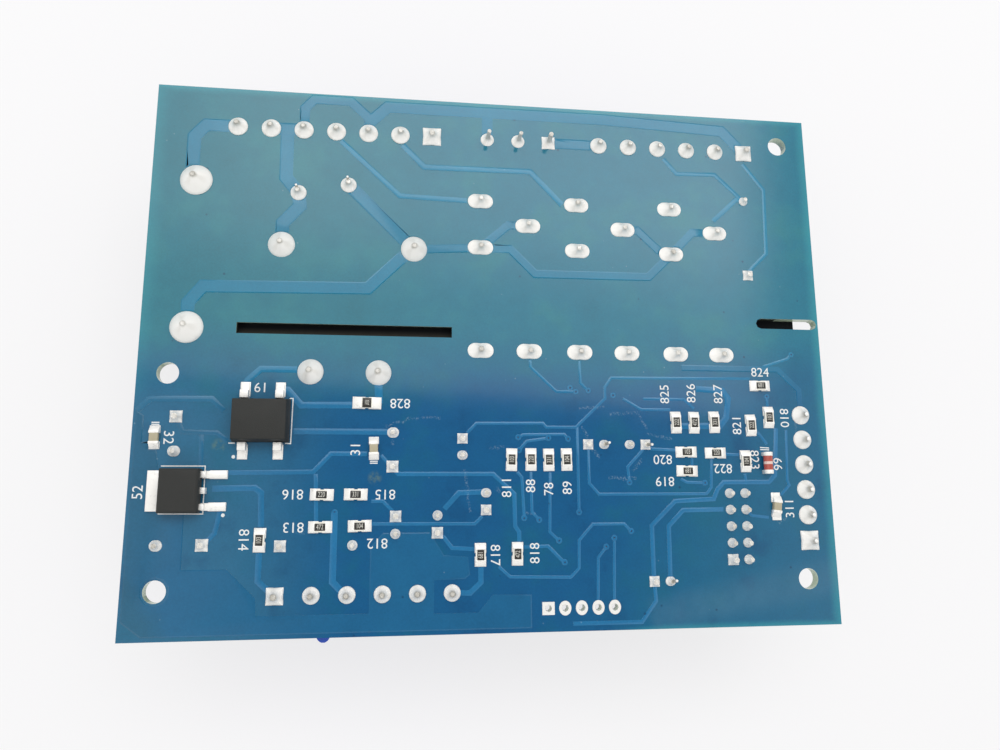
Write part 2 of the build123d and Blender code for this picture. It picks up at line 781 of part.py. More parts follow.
def can(ends, height):
    """An electrolytic capacitor: a round can with a rubber foot and an eased crown."""
    x = (ends[0][0] + ends[1][0]) / 2
    y = (ends[0][1] + ends[1][1]) / 2
    low = -seat_gap - height
    steps = [
        (low, can_radius - 0.7), (low + 0.7, can_radius), (-seat_gap, can_radius),
        (-seat_gap, can_radius - 1.0), (0, can_radius - 1.0),
    ]
    body = Pos(x, y, underside) * turned(steps, 14)
    return body - [tail(lead, can_lead_low) for lead in leads_at(ends, 0.6, 0, 0)]


can_lead_low = underside - seat_gap - 1


diode_radius = 1.35
diode_length = 5.2
wire = 0.7


def axial_diode(leads):
    """A round body held level by two bent wires, as the body and the wires."""
    first, second = leads
    middle = ((first.x + second.x) / 2, (first.y + second.y) / 2)
    half_span = math.hypot(second.x - first.x, second.y - first.y) / 2
    turn = math.degrees(math.atan2(second.y - first.y, second.x - first.x))
    place = Pos(*middle, underside) * Rot(0, 0, turn)
    drop = seat_gap + diode_radius  # from the board to the middle of the body
    half = diode_length / 2
    body = turned([(-half, diode_radius), (half, diode_radius)], 10)
    low = -drop - wire / 2
    reach = half_span + wire / 2 - half
    wires = []
    for side in (-1, 1):
        level = block(side * (half + reach / 2), 0, low, reach, wire, wire)
        leg = block(side * half_span, 0, low, wire, wire, board_thickness - low)
        wires.append(place * (level + leg))
    return place * Pos(0, 0, -drop) * Rot(0, 90, 0) * body, wires


disc_cap_radius = 2.6
disc_cap_thickness = 1.8


def disc_capacitor(place, turn):
    """A small dipped disc over its two leads."""
    z = underside - 0.8 - disc_cap_radius
    across = 0 if turn[0] else 90
    lie = Pos(place[0], place[1], z) * Rot(0, 0, across) * Rot(90, 0, 0)
    half = disc_cap_thickness / 2
    disc = lie * turned([(-half, disc_cap_radius), (half, disc_cap_radius)], 10)
    leads = leads_at(pair(place, turn), 0.5, 0, 0)
    return disc - [tail(lead, disc_cap_lead_low) for lead in leads]


disc_cap_lead_low = underside - 0.8 - disc_cap_radius
link_height = 8.5


def link_base(place):
    """The strip that holds the two posts of a link."""
    base = hung(place[0], place[1], fine_pitch, 2 * fine_pitch, fine_pitch)
    return base - [tail(lead, underside - 4) for lead in leads_at(pair(place, (0, 1)), 0.64, 0, 0)]


def link_cap(place):
    """The removable cap that bridges the two posts."""
    cap = hung(place[0], place[1], fine_pitch, 2 * fine_pitch, 6.0, fine_pitch)
    leads = leads_at(pair(place, (0, 1)), 0.64, 0, 0)
    return cap - [tail(lead, underside - link_height + 0.5) for lead in leads]


def lamp(place):
    """A small indicator lamp: a rim, a barrel and a rounded end."""
    steps = [(-5.2, 0.9), (-4.4, 1.5), (-2.0, 1.5), (-2.0, 1.9), (-1.0, 1.9)]
    lens = Pos(place[0], place[1], underside) * turned(steps, 8)
    return lens - [tail(lead, lamp_lead_low) for lead in leads_at(pair(place, (-1, 0)), 0.5, 0, 0)]


lamp_lead_low = underside - 1.5


@dataclass
class Circuit:
    """A flat integrated circuit under the board, with leads along two sides."""

    x: float
    y: float
    count: int
    length: float
    width: float
    height: float
    reach: float  # over the toes of the leads


controller = Circuit(*at(12.6, -23.4), 28, 17.9, 7.5, 2.3, 10.3)
driver = Circuit(*at(17.3, -8.4), 16, 9.9, 3.9, 1.5, 6.0)
circuit_pitch = 1.27


def circuit_body(ic):
    """The moulded body, its long lower edges eased."""
    body = hung(ic.x, ic.y, ic.length, ic.width, ic.height, 0.15)
    low_edges = body.faces().sort_by(Axis.Z)[0].edges().filter_by(Axis.X)
    return chamfer(low_edges, 0.3)


def circuit_leads(ic):
    """Leads that leave the body at half height and slope up to the board."""
    reach = (ic.reach - ic.width) / 2
    knee = ic.height / 2 + 0.15
    profile = Polyline((0, -knee), (0, -knee - 0.3), (reach, 0), (reach * 0.4, 0), close=True)
    lead = extrude(Plane.YZ * make_face(profile), 0.2, both=True)
    leads = []
    per_side = ic.count // 2
    for i in range(per_side):
        x = ic.x + (i - (per_side - 1) / 2) * circuit_pitch
        leads.append(Pos(x, ic.y + ic.width / 2, underside) * lead)
        leads.append(Pos(x, ic.y - ic.width / 2, underside) * Rot(0, 0, 180) * lead)
    return leads


# ------------------------------------------------------------------ all nodes


def board_nodes():
    save("circuit_board", circuit_board())
    save("power_tracks", power_tracks())
    save("solder_joints", *[solder_joint(lead) for lead in all_leads])


def soldered_side_nodes():
    bodies, ends = chip_resistors()
    save("resistor_bodies", *bodies)
    save("resistor_ends", *ends)
    bodies, ends = chip_capacitors()
    save("chip_capacitor_bodies", *bodies)
    save("chip_capacitor_ends", *ends)
    glass, caps = glass_diode()
    save("glass_diode_body", glass)
    save("glass_diode_caps", *caps)
    body, leads = bridge_rectifier()
    save("bridge_rectifier_body", body)
    save("bridge_rectifier_leads", *leads)
    body, metal = regulator()
    save("regulator_body", body)
    save("regulator_tab_and_leads", *metal)


def mains_nodes():
    save("transformer_core", transformer_core())
    save("transformer_bobbin", transformer_bobbin())
    save("transformer_windings", *transformer_windings())
    save("transformer_pins", *transformer_pins())
    save("slot_barriers", *slot_barriers())
    for number, place in enumerate(relay_places, 1):
        save(f"relay_{number}_case", relay_case(*place))
        save(f"relay_{number}_base", relay_base(*place))
    save("relay_pins", *[tail(lead, underside) for pins in relay_pins for lead in pins])
    save("fuse_base", fuse_base())
    save("fuse_clips", fuse_clip(fuse_leads[0], 1), fuse_clip(fuse_leads[1], -1))
    glass, caps = fuse()
    save("fuse_glass", glass)
    save("fuse_caps", *caps)
    save("varistor_disc", varistor_disc())
    save("varistor_leads", *[tail(lead, varistor_lead_low) for lead in varistor_leads])


def header_nodes():
    power_headers = {
        "supply": (supply_leads, 1),
        "pump": (pump_leads, 1),
        "load": (load_leads, 1),
        "sensor": (sensor_leads, -1),
    }
    for name, (leads, edge) in power_headers.items():
        save(f"{name}_header", power_header(leads, edge))
        save(f"{name}_posts", *header_posts(leads, header_height - 1.5))
    save("panel_header", panel_header())
    save("panel_posts", *header_posts(panel_leads, panel_height - 0.5))
    save("ribbon_header", ribbon_header())
    save("ribbon_posts", *header_posts(ribbon_leads, ribbon_height - 1.0))


def small_part_nodes():
    for number, (ends, height) in enumerate(zip(can_ends, can_heights), 1):
        save(f"electrolytic_{number}", can(ends, height))
    low = can_lead_low
    save("electrolytic_leads", *[tail(lead, low) for leads in can_leads for lead in leads])
    diodes = [axial_diode(leads) for leads in diode_leads]
    save("axial_diodes", *[body for body, _ in diodes])
    save("axial_diode_wires", *[bent for _, wires in diodes for bent in wires])
    discs = [disc_capacitor(*placed) for placed in zip(disc_cap_places, disc_cap_turns)]
    save("disc_capacitors", *discs)
    low = disc_cap_lead_low
    save("disc_capacitor_leads", *[tail(lead, low) for leads in disc_cap_leads for lead in leads])
    save("link_bases", *[link_base(place) for place in link_places])
    save("link_caps", *[link_cap(place) for place in link_places])
    low = underside - link_height + 0.5
    save("link_posts", *[tail(lead, low) for leads in link_leads for lead in leads])
    save("indicator_lamps", *[lamp(place) for place in lamp_places])
    low = lamp_lead_low
    save("indicator_lamp_leads", *[tail(lead, low) for leads in lamp_leads for lead in leads])
    save("controller_body", circuit_body(controller))
    save("controller_leads", *circuit_leads(controller))
    save("driver_body", circuit_body(driver))
    save("driver_leads", *circuit_leads(driver))


os.makedirs("parts", exist_ok=True)
board_nodes()
soldered_side_nodes()
mains_nodes()
header_nodes()
small_part_nodes()
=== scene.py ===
"""Finish of the boiler control board, laid out as an add-on with one step for each group of pieces."""

import json
import math
import random

import bmesh
import bpy
from bpy.props import FloatProperty, FloatVectorProperty, IntProperty, PointerProperty
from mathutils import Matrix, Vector

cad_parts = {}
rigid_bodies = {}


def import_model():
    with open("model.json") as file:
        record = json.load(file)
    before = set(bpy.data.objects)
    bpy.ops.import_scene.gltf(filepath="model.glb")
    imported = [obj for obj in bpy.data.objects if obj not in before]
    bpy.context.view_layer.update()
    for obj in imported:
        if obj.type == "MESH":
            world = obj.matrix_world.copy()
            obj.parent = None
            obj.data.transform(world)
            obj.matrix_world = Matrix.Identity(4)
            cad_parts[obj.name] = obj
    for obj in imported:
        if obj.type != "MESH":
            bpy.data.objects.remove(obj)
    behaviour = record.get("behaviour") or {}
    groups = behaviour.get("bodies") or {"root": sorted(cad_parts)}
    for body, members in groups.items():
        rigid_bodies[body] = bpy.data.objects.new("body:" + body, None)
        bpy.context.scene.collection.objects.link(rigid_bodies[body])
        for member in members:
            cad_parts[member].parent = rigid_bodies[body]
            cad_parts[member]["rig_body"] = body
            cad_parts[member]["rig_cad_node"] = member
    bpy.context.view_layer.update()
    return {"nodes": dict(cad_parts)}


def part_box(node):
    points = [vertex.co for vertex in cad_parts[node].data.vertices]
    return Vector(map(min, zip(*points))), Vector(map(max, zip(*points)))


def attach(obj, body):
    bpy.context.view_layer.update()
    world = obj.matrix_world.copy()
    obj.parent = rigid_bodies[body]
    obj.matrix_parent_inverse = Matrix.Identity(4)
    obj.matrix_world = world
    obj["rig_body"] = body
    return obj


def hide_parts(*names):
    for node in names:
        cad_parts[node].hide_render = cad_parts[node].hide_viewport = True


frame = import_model()

bl_info = {
    "name": "Boiler Control Board",
    "version": (1, 0, 0),
    "blender": (4, 5, 0),
    "location": "View3D > Sidebar > Board",
    "description": "Lacquer, copper, solder and parts of a boiler control board",
    "category": "Object",
}

MM = 0.001
board_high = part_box("circuit_board")[1]
FACE = board_high.z
HALF_LENGTH = board_high.x / MM
HALF_WIDTH = board_high.y / MM
TOP = FACE / MM


def colour(name, description, default):
    """A colour that the sidebar shows."""
    return FloatVectorProperty(
        name=name, description=description, default=default, size=3, min=0, max=1, subtype="COLOR"
    )


def length(name, description, default):
    """A length in metres that the sidebar shows."""
    return FloatProperty(name=name, description=description, default=default, unit="LENGTH", precision=5)


def amount(name, description, default, low=0.0, high=10.0):
    """A plain number that the sidebar shows."""
    return FloatProperty(name=name, description=description, default=default, min=low, max=high)


# ---------------------------------------------------------------- settings


class BoardStudio(bpy.types.PropertyGroup):
    camera_place: FloatVectorProperty(
        name="Camera place", description="Where the camera stands", size=3, subtype="TRANSLATION",
        default=(-14.626 * MM, -22.936 * MM, FACE + 113.70 * MM),
    )
    camera_turn: FloatVectorProperty(
        name="Camera turn", description="How the camera is turned from looking straight down",
        size=3, subtype="EULER",
        default=(math.radians(9.8876), math.radians(-7.0489), math.radians(-0.2812)),
    )
    camera_lens: amount("Lens", "Focal length in millimetres on a 36 mm wide frame", 26.893, 1, 300)
    camera_shift: FloatVectorProperty(
        name="Shift", description="How far the frame is shifted, as a share of its width",
        size=2, precision=5, default=(0.00446, -0.00321),
    )
    floor_size: length("Floor size", "Side of the floor", 3.0)
    floor_colour: colour("Floor", "Colour of the floor", (0.90, 0.90, 0.905))
    panel_height: length("Panel height", "Height of the soft panel over the board", 0.5)
    panel_glow: amount("Panel glow", "Brightness of the soft panel's near half, 1 being white", 1.35)
    panel_far: amount("Far glow", "How much brighter its far half is", 1.2)
    side_glow: amount("Side glow", "Brightness of the weak panel at the left", 0.38)
    sky_low: amount("Low sky", "Brightness of the surroundings near the horizon", 0.92)
    sky_high: amount("High sky", "Brightness of the surroundings overhead", 0.25)


class BoardLacquer(bpy.types.PropertyGroup):
    # The upper-half colours (upper blue, upper left, copper and track blue above, high cloud) are lighter and
    # greener partly because a reflection of the bright panel overhead is painted into them.
    upper: colour("Upper blue", "Lacquer over bare board in the upper half", (0.010, 0.162, 0.246))
    upper_left: colour("Upper left", "Lacquer over bare board in the upper left", (0.011, 0.160, 0.218))
    lower: colour("Lower blue", "Lacquer over bare board in the lower half", (0.005, 0.096, 0.240))
    copper: colour("Copper blue", "Lacquer over copper in the lower half", (0.011, 0.122, 0.265))
    copper_upper: colour("Copper blue above", "Lacquer over copper in the upper half", (0.014, 0.190, 0.320))
    copper_left: colour("Copper teal", "Lacquer over copper at the lower left", (0.016, 0.112, 0.200))
    track: colour("Track blue", "Lacquer over tracks in the lower half", (0.020, 0.176, 0.375))
    track_upper: colour("Track blue above", "Lacquer over tracks in the upper half", (0.022, 0.225, 0.375))
    edge: colour("Edge teal", "Lacquer near the board's edges", (0.030, 0.290, 0.350))
    right: colour("Right teal", "Lacquer in the lower right", (0.007, 0.124, 0.232))
    left: colour("Left teal", "Lacquer in the lower left", (0.024, 0.143, 0.252))
    core: colour("Glass fibre", "Cut walls of the board", (0.520, 0.590, 0.460))
    under: colour("Under blue", "Lacquer on the component side", (0.020, 0.110, 0.210))
    cloud_low: colour("Low cloud", "Greener clouds in the lower half", (0.006, 0.112, 0.190))
    cloud_high: colour("High cloud", "Greener clouds in the upper half", (0.020, 0.185, 0.215))
    deep: colour("Deep blue", "Darker clouds in the lower half", (0.002, 0.058, 0.170))
    scratch: colour("Scratch", "Scratches and dust", (0.42, 0.56, 0.60))
    # Painted reflection: a pale haze over the lacquer at the lower right.
    smear: colour("Smear", "The pale smear at the lower right", (0.10, 0.22, 0.31))
    speck: colour("Speck", "Dark specks", (0.003, 0.025, 0.080))
    stain: colour("Stain", "Yellowish stains of flux", (0.16, 0.24, 0.14))


class BoardCopper(bpy.types.PropertyGroup):
    sill: length("Sill", "Height of a wide track's outer edge", 0.018 * MM)
    shoulder: length("Shoulder", "Width of the slope along a track's edge", 0.17 * MM)
    height: length("Height", "Height of the tracks", 0.045 * MM)
    via: length("Via", "Outer diameter of a via's ring", 0.95 * MM)
    via_hole: length("Via hole", "Diameter of a via's dimple", 0.36 * MM)


class BoardSolder(bpy.types.PropertyGroup):
    bright: colour("Bright", "Smooth solder", (0.965, 0.950, 0.915))
    # Partly painted shade: the grey round the lead and at its cut end stands for the pin's shaded side.
    grey: colour("Grey", "Solder near the lead", (0.34, 0.32, 0.26))
    # Painted shade: the darker wedges between the highlights on a big joint's facets.
    wedge_shade: colour("Crease", "Folds where the solder shrank", (0.70, 0.68, 0.63))
    fleck: colour("Fleck", "Burnt flux beside the lead", (0.16, 0.13, 0.095))
    sides: IntProperty(name="Sides", description="Sides of a round joint", default=32, min=8, max=96)


class BoardPrint(bpy.types.PropertyGroup):
    ink: colour("Ink", "White print on the lacquer", (0.80, 0.82, 0.82))
    figure: length("Figure height", "Height of the printed numbers", 1.5 * MM)
    line: length("Line width", "Width of the printed lines", 0.16 * MM)
    dot: length("Dot radius", "Radius of the dots that mark the first lead", 0.27 * MM)


class BoardChips(bpy.types.PropertyGroup):
    length: length("Length", "Length of a small chip over its solder", 3.45 * MM)
    width: length("Width", "Width of a small chip's lands", 1.72 * MM)
    height: length("Height", "Height of a small chip", 0.58 * MM)
    window: length("Glaze length", "Length of the dark glaze on a resistor", 1.55 * MM)
    gap: length("Gap", "Bare board between the two lands", 0.5 * MM)
    land: length("Land height", "Height of the solder on a resistor's land", 0.13 * MM)
    figure: length("Figure height", "Height of the figures on a resistor", 0.74 * MM)
    thick: length("Capacitor height", "Height of a chip capacitor's body", 0.80 * MM)
    long_land: length("Long land", "Reach of the right capacitor's lands", 2.15 * MM)


class BoardSpareRow(bpy.types.PropertyGroup):
    x: length("Middle x", "Place of the third hole", 12.38 * MM)
    y: length("Middle y", "Place of the third hole", -38.65 * MM)
    pitch: length("Pitch", "Distance between holes", 2.54 * MM)
    hole: length("Hole", "Radius of the plated holes", 0.49 * MM)
    depth: length("Depth", "How far the plating reaches down", 1.58 * MM)
    square: length("Square", "Half the side of the first ring", 0.91 * MM)


# ---------------------------------------------------------------- modelling


def deselect():
    """Leaves edit mode and deselects every object."""
    active = bpy.context.view_layer.objects.active
    if active and active.mode != "OBJECT":
        bpy.ops.object.mode_set(mode="OBJECT")
    bpy.ops.object.select_all(action="DESELECT")


def activate(*pieces):
    """Selects the pieces and nothing else, the first one active."""
    deselect()
    for piece in pieces:
        piece.select_set(True)
    bpy.context.view_layer.objects.active = pieces[0]


def edit(piece, everything=False):
    """Opens the piece in edit mode with all of it selected, or nothing."""
    activate(piece)
    bpy.ops.object.mode_set(mode="EDIT")
    bpy.ops.mesh.select_mode(type="VERT")
    bpy.ops.mesh.select_all(action="SELECT" if everything else "DESELECT")


def close():
    """Back to object mode."""
    bpy.ops.object.mode_set(mode="OBJECT")


def pick(kind, test):
    """Selects the faces, edges or vertices of the open mesh that pass the test, and says how many."""
    bpy.ops.mesh.select_mode(type=kind)
    bpy.ops.mesh.select_all(action="DESELECT")
    mesh = bpy.context.edit_object.data
    shape = bmesh.from_edit_mesh(mesh)
    parts = {"FACE": shape.faces, "EDGE": shape.edges, "VERT": shape.verts}[kind]
    found = [part for part in parts if test(part)]
    for part in found:
        part.select_set(True)
    shape.select_flush_mode()
    bmesh.update_edit_mesh(mesh)
    return len(found)


def start(name, primitive, **settings):
    """Adds a primitive as a new piece with its place in its mesh."""
    deselect()
    primitive(**settings)
    piece = bpy.context.active_object
    piece.name = name
    piece.data.name = name
    bpy.ops.object.transform_apply(location=True, rotation=True, scale=True)
    return piece


def settle(piece):
    """Applies the place, turn and scale of the piece to its mesh."""
    activate(piece)
    bpy.ops.object.transform_apply(location=True, rotation=True, scale=True)
    return piece


def modify(piece, kind, **settings):
    """Adds a modifier to the piece and applies it."""
    activate(piece)
    modifier = piece.modifiers.new(kind.title(), kind)
    for name, value in settings.items():
        setattr(modifier, name, value)
    bpy.ops.object.modifier_apply(modifier=modifier.name)
    return piece


def join(name, pieces):
    """Joins the pieces into one of the given name."""
    activate(*pieces)
    if len(pieces) > 1:
        bpy.ops.object.join()
    piece = bpy.context.view_layer.objects.active
    piece.name = name
    piece.data.name = name
    return piece


def remove(*pieces):
    """Takes helper objects out of the scene."""
    for piece in pieces:
        mesh = piece.data
        bpy.data.objects.remove(piece)
        bpy.data.meshes.remove(mesh)


def copy_to(model, place, turn=0.0, lean=(0.0, 0.0)):
    """A copy of the model, with a mesh of its own, turned and set down at a place."""
    twin = model.copy()
    twin.data = model.data.copy()
    bpy.context.scene.collection.objects.link(twin)
    twin.rotation_euler = (*lean, turn)
    twin.location = place
    return twin


def set_down(name, twins, model=None):
    """Applies the places of the copies and joins them into one piece."""
    activate(*twins)
    bpy.ops.object.transform_apply(location=True, rotation=True, scale=True)
    if model:
        remove(model)
    return join(name, twins)


def copy_node(node, name):
    """A merged copy of a CAD node, free to be shaped."""
    piece = frame["nodes"][node].copy()
    piece.data = piece.data.copy()
    piece.parent = None
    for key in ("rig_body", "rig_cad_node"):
        if key in piece:
            del piece[key]
    piece.name = name
    piece.data.name = name
    bpy.context.scene.collection.objects.link(piece)
    piece.hide_render = False
    piece.hide_viewport = False
    piece.hide_set(False)
    edit(piece, everything=True)
    bpy.ops.mesh.remove_doubles(threshold=0.002 * MM)
    close()
    return piece


def shells_of(node):
    """The loose shells of a CAD node, as helper objects."""
    copy = copy_node(node, "shells")
    edit(copy, everything=True)
    bpy.ops.mesh.separate(type="LOOSE")
    close()
    return list(bpy.context.selected_objects)


def islands(node):
    """Lowest and highest corner of each loose shell of a CAD node, from left to right."""
    shells = shells_of(node)
    found = []
    for shell in shells:
        points = [vertex.co for vertex in shell.data.vertices]
        found.append((Vector(map(min, zip(*points))), Vector(map(max, zip(*points)))))
    remove(*shells)
    return sorted(found, key=lambda corners: (round(corners[0].x, 6), round(corners[0].y, 6)))


def rounded_copy(node, name, radius, paint):
    """Stands in for a CAD node with a copy whose sharp edges are rounded."""
    piece = copy_node(node, name)
    edit(piece, everything=True)
    bpy.ops.mesh.dissolve_limited(angle_limit=math.radians(1.0))
    close()
    modify(
        piece, "BEVEL", width=radius, segments=2, limit_method="ANGLE", angle_limit=math.radians(30),
        use_clamp_overlap=True,
    )
    finish(piece, paint, node)


def repaint(node, paint):
    """Gives a CAD node a new material."""
    mesh = frame["nodes"][node].data
    mesh.materials.clear()
    mesh.materials.append(paint)


def block(low, high, bevel=0.0, paint=None, segments=2):
    """A block between two opposite corners with its edges broken."""
    low, high = Vector(map(min, low, high)), Vector(map(max, low, high))
    middle = (low + high) / 2
    piece = start("block", bpy.ops.mesh.primitive_cube_add, size=1, location=middle, scale=high - low)
    if bevel:
        edit(piece, everything=True)
        bpy.ops.mesh.bevel(offset=bevel, segments=segments, affect="EDGES", profile=0.6)
        close()
    if paint:
        piece.data.materials.append(paint)
    return piece


def disc(name, radius, sides, place=(0, 0, 0), fill="NGON", turn=0.0):
    """A flat disc, or its rim alone, opened in edit mode with all of it selected."""
    piece = start(name, bpy.ops.mesh.primitive_circle_add, vertices=sides, radius=radius, fill_type=fill,
                  location=place, rotation=(0, 0, turn))
    edit(piece, everything=True)
    return piece


def extrude(*move):
    """Extrudes what is selected by the move."""
    bpy.ops.mesh.extrude_region_move(TRANSFORM_OT_translate={"value": move})


def shift(*move):
    """Moves what is selected."""
    bpy.ops.transform.translate(value=move)


def draw_lines(name, lines, width, low, height):
    """Strips of the given width and height along lines whose bends are given in millimetres."""
    piece = start(name, bpy.ops.mesh.primitive_plane_add, size=0.1 * MM)
    edit(piece, everything=True)
    bpy.ops.mesh.delete(type="VERT")
    for bends in lines:
        place = (bends[0][0] * MM, bends[0][1] * MM, low)
        bpy.ops.mesh.primitive_plane_add(size=0.1 * MM, location=place)
        bpy.ops.mesh.merge(type="CENTER")
        for before, after in zip(bends, bends[1:]):
            extrude((after[0] - before[0]) * MM, (after[1] - before[1]) * MM, 0)
    bpy.ops.mesh.select_all(action="SELECT")
    extrude(0, 0, height)
    close()
    return modify(piece, "SOLIDIFY", thickness=width, offset=0.0, use_even_offset=True)


def grow(factor_x, factor_y, rise, centre=(0, 0, 0)):
    """Extrudes the selected rim or face upwards by the rise and scales it about the centre."""
    extrude(0, 0, rise)
    bpy.ops.transform.resize(value=(factor_x, factor_y, 1), center_override=centre)


def finish(piece, paint, *replaced, slot=None, angle=35):
    """Gives the piece its material, smooth shading and body, and hides the CAD nodes it stands for; the slot
    is not used.
    """
    if paint:
        piece.data.materials.clear()
        piece.data.materials.append(paint)
    activate(piece)
    bpy.ops.object.shade_smooth_by_angle(angle=math.radians(angle))
    deselect()
    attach(piece, "root")
    if replaced:
        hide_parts(*replaced)


# ---------------------------------------------------------------- paint


class Value:
    """A socket of a material that takes part in sums like a number."""

    def __init__(self, paint, socket):
        self.paint = paint
        self.socket = socket

    def maths(self, operation, *inputs):
        return self.paint.node("ShaderNodeMath", {"operation": operation}, dict(enumerate(inputs)))

    def __add__(self, other):
        return self.maths("ADD", self, other)

    def __sub__(self, other):
        return self.maths("SUBTRACT", self, other)

    def __rsub__(self, other):
        return self.maths("SUBTRACT", other, self)

    def __mul__(self, other):
        return self.maths("MULTIPLY", self, other)

    def low(self, other):
        return self.maths("MINIMUM", self, other)

    def high(self, other):
        return self.maths("MAXIMUM", self, other)

    def size(self):
        return self.maths("ABSOLUTE", self)

    def wave(self):
        return self.maths("SINE", self)

    def root(self):
        return self.maths("SQRT", self)


class Paint:
    """A material in the making, with the few patterns that the finishes share."""

    def __init__(self, name, roughness=0.5, metallic=0.0, coat=0.0, specular=0.5):
        self.material = bpy.data.materials.new(name)
        self.material.use_nodes = True
        self.tree = self.material.node_tree
        self.shader = self.tree.nodes["Principled BSDF"]
        self.fix("Roughness", roughness)
        self.fix("Metallic", metallic)
        self.fix("Coat Weight", coat)
        self.fix("Specular IOR Level", specular)
        spot = self.node("ShaderNodeTexCoord", output="Object")
        self.place = self.node("ShaderNodeVectorMath", {"operation": "SCALE"}, {0: spot, "Scale": 1 / MM})
        self.x, self.y, self.z = self.split(self.place)

    def node(self, kind, settings=None, inputs=None, output=0):
        """Adds a node: its settings first, then the values or links of its sockets."""
        made = self.tree.nodes.new(kind)
        for name, value in (settings or {}).items():
            setattr(made, name, value)
        for name, value in (inputs or {}).items():
            self.feed(made.inputs[name], value)
        return Value(self, made.outputs[output])

    def feed(self, socket, value):
        """Links a value to the socket, or sets a number or colour on it."""
        if isinstance(value, Value):
            self.tree.links.new(value.socket, socket)
        elif socket.type == "RGBA":
            socket.default_value = (*value, 1.0)[:4]
        else:
            socket.default_value = value

    def fix(self, name, value):
        """Sets or links a socket of the shader."""
        self.feed(self.shader.inputs[name], value)

    def split(self, vector):
        """The three parts of a vector."""
        made = self.tree.nodes.new("ShaderNodeSeparateXYZ")
        self.tree.links.new(vector.socket, made.inputs[0])
        return [Value(self, output) for output in made.outputs]

    def grey(self, value):
        """A colour whose three parts are the value."""
        return self.node("ShaderNodeCombineXYZ", None, {0: value, 1: value, 2: value})

    def noise(self, scale, detail, roughness=0.5):
        """Cloudy pattern from 0 to 1, its scale in features per millimetre."""
        inputs = {"Vector": self.place, "Scale": scale, "Detail": detail, "Roughness": roughness}
        return self.node("ShaderNodeTexNoise", None, inputs)

    def cells(self, scale):
        """Distance to the nearest of scattered points."""
        inputs = {"Vector": self.place, "Scale": scale}
        return self.node("ShaderNodeTexVoronoi", None, inputs, "Distance")

    def ramp(self, value, low, high, bottom=0.0, top=1.0):
        """Rises smoothly from bottom to top while the value goes from low to high."""
        return self.node(
            "ShaderNodeMapRange", {"interpolation_type": "SMOOTHSTEP"},
            {0: value, 1: low, 2: high, 3: bottom, 4: top},
        )

    def mix(self, factor, first, second, blend="MIX"):
        """A mix of two colours."""
        made = self.tree.nodes.new("ShaderNodeMix")
        made.data_type = "RGBA"
        made.blend_type = blend
        self.feed(made.inputs["Factor"], factor)
        for socket in made.inputs:
            if socket.type == "RGBA":
                self.feed(socket, first if socket.name == "A" else second)
        return Value(self, [socket for socket in made.outputs if socket.type == "RGBA"][0])

    def bump(self, height, depth):
        """Relief from a height from 0 to 1, the depth in millimetres."""
        inputs = {"Height": height, "Distance": depth * MM, "Strength": 1.0}
        self.fix("Normal", self.node("ShaderNodeBump", None, inputs))

    def stripe(self, start, end, inner, outer, sway):
        """1 along the line between two places, fading from the inner to the outer distance."""
        reach = math.hypot(end[0] - start[0], end[1] - start[1])
        ux, uy = (end[0] - start[0]) / reach, (end[1] - start[1]) / reach
        along = (self.x - start[0]) * ux + (self.y - start[1]) * uy
        off = ((self.y - start[1]) * ux - (self.x - start[0]) * uy + sway).size()
        ends = self.ramp((along - reach / 2).size(), reach / 2 - 0.5 * outer, reach / 2, 1.0, 0.0)
        return self.ramp(off, inner, outer, 1.0, 0.0) * ends

    def spots(self, centres, radius):
        """1 near any of the centres, 0 away from them."""
        total = None
        for x, y in centres:
            away = ((self.x - x) * (self.x - x) + (self.y - y) * (self.y - y)).root()
            near = self.ramp(away, 0.3 * radius, radius, 1.0, 0.0)
            total = near if total is None else total.high(near)
        return total


# Fine scratches: from, to, and how strong each is.
SCRATCHES = [
    ((12.9, -11.4), (14.6, -14.6), 0.40), ((14.6, -14.6), (15.6, -16.6), 0.40),
    ((12.6, -8.7), (16.8, -8.3), 0.35), ((17.5, -9.6), (21.9, -9.0), 0.40),
    ((21.9, -9.0), (23.6, -11.9), 0.35), ((23.4, -12.4), (27.6, -13.4), 0.40),
    ((17.0, -19.3), (21.6, -19.6), 0.45), ((20.9, -18.4), (22.6, -16.4), 0.40),
    ((-5.3, -18.0), (-4.3, -24.6), 0.30), ((-1.6, -14.9), (0.9, -14.7), 0.35),
    ((-17.3, -11.6), (-13.6, -10.5), 0.40), ((-13.6, -10.5), (-8.9, -10.2), 0.35),
    ((-16.4, -12.2), (-16.1, -14.6), 0.35), ((-30.5, -27.0), (-28.0, -27.4), 0.30),
    ((4.0, -24.4), (5.6, -24.9), 0.35), ((44.3, -26.6), (45.8, -25.4), 0.40),
    ((-0.6, -20.9), (0.2, -21.6), 0.35), ((48.5, -9.0), (48.3, -14.5), 0.30),
]
# Ends of the strip at the lower right where a pale reflection is painted into the lacquer.
REFLECTION_STRIP = ((22.0, -39.6), (55.0, -33.2))
STAINS = [(-18.7, -19.4), (-41.4, -14.7)]
SLOTS = ((-2.0, 48.3), (4.35, 2.2))  # middle and half span of both slots together, in x and in y


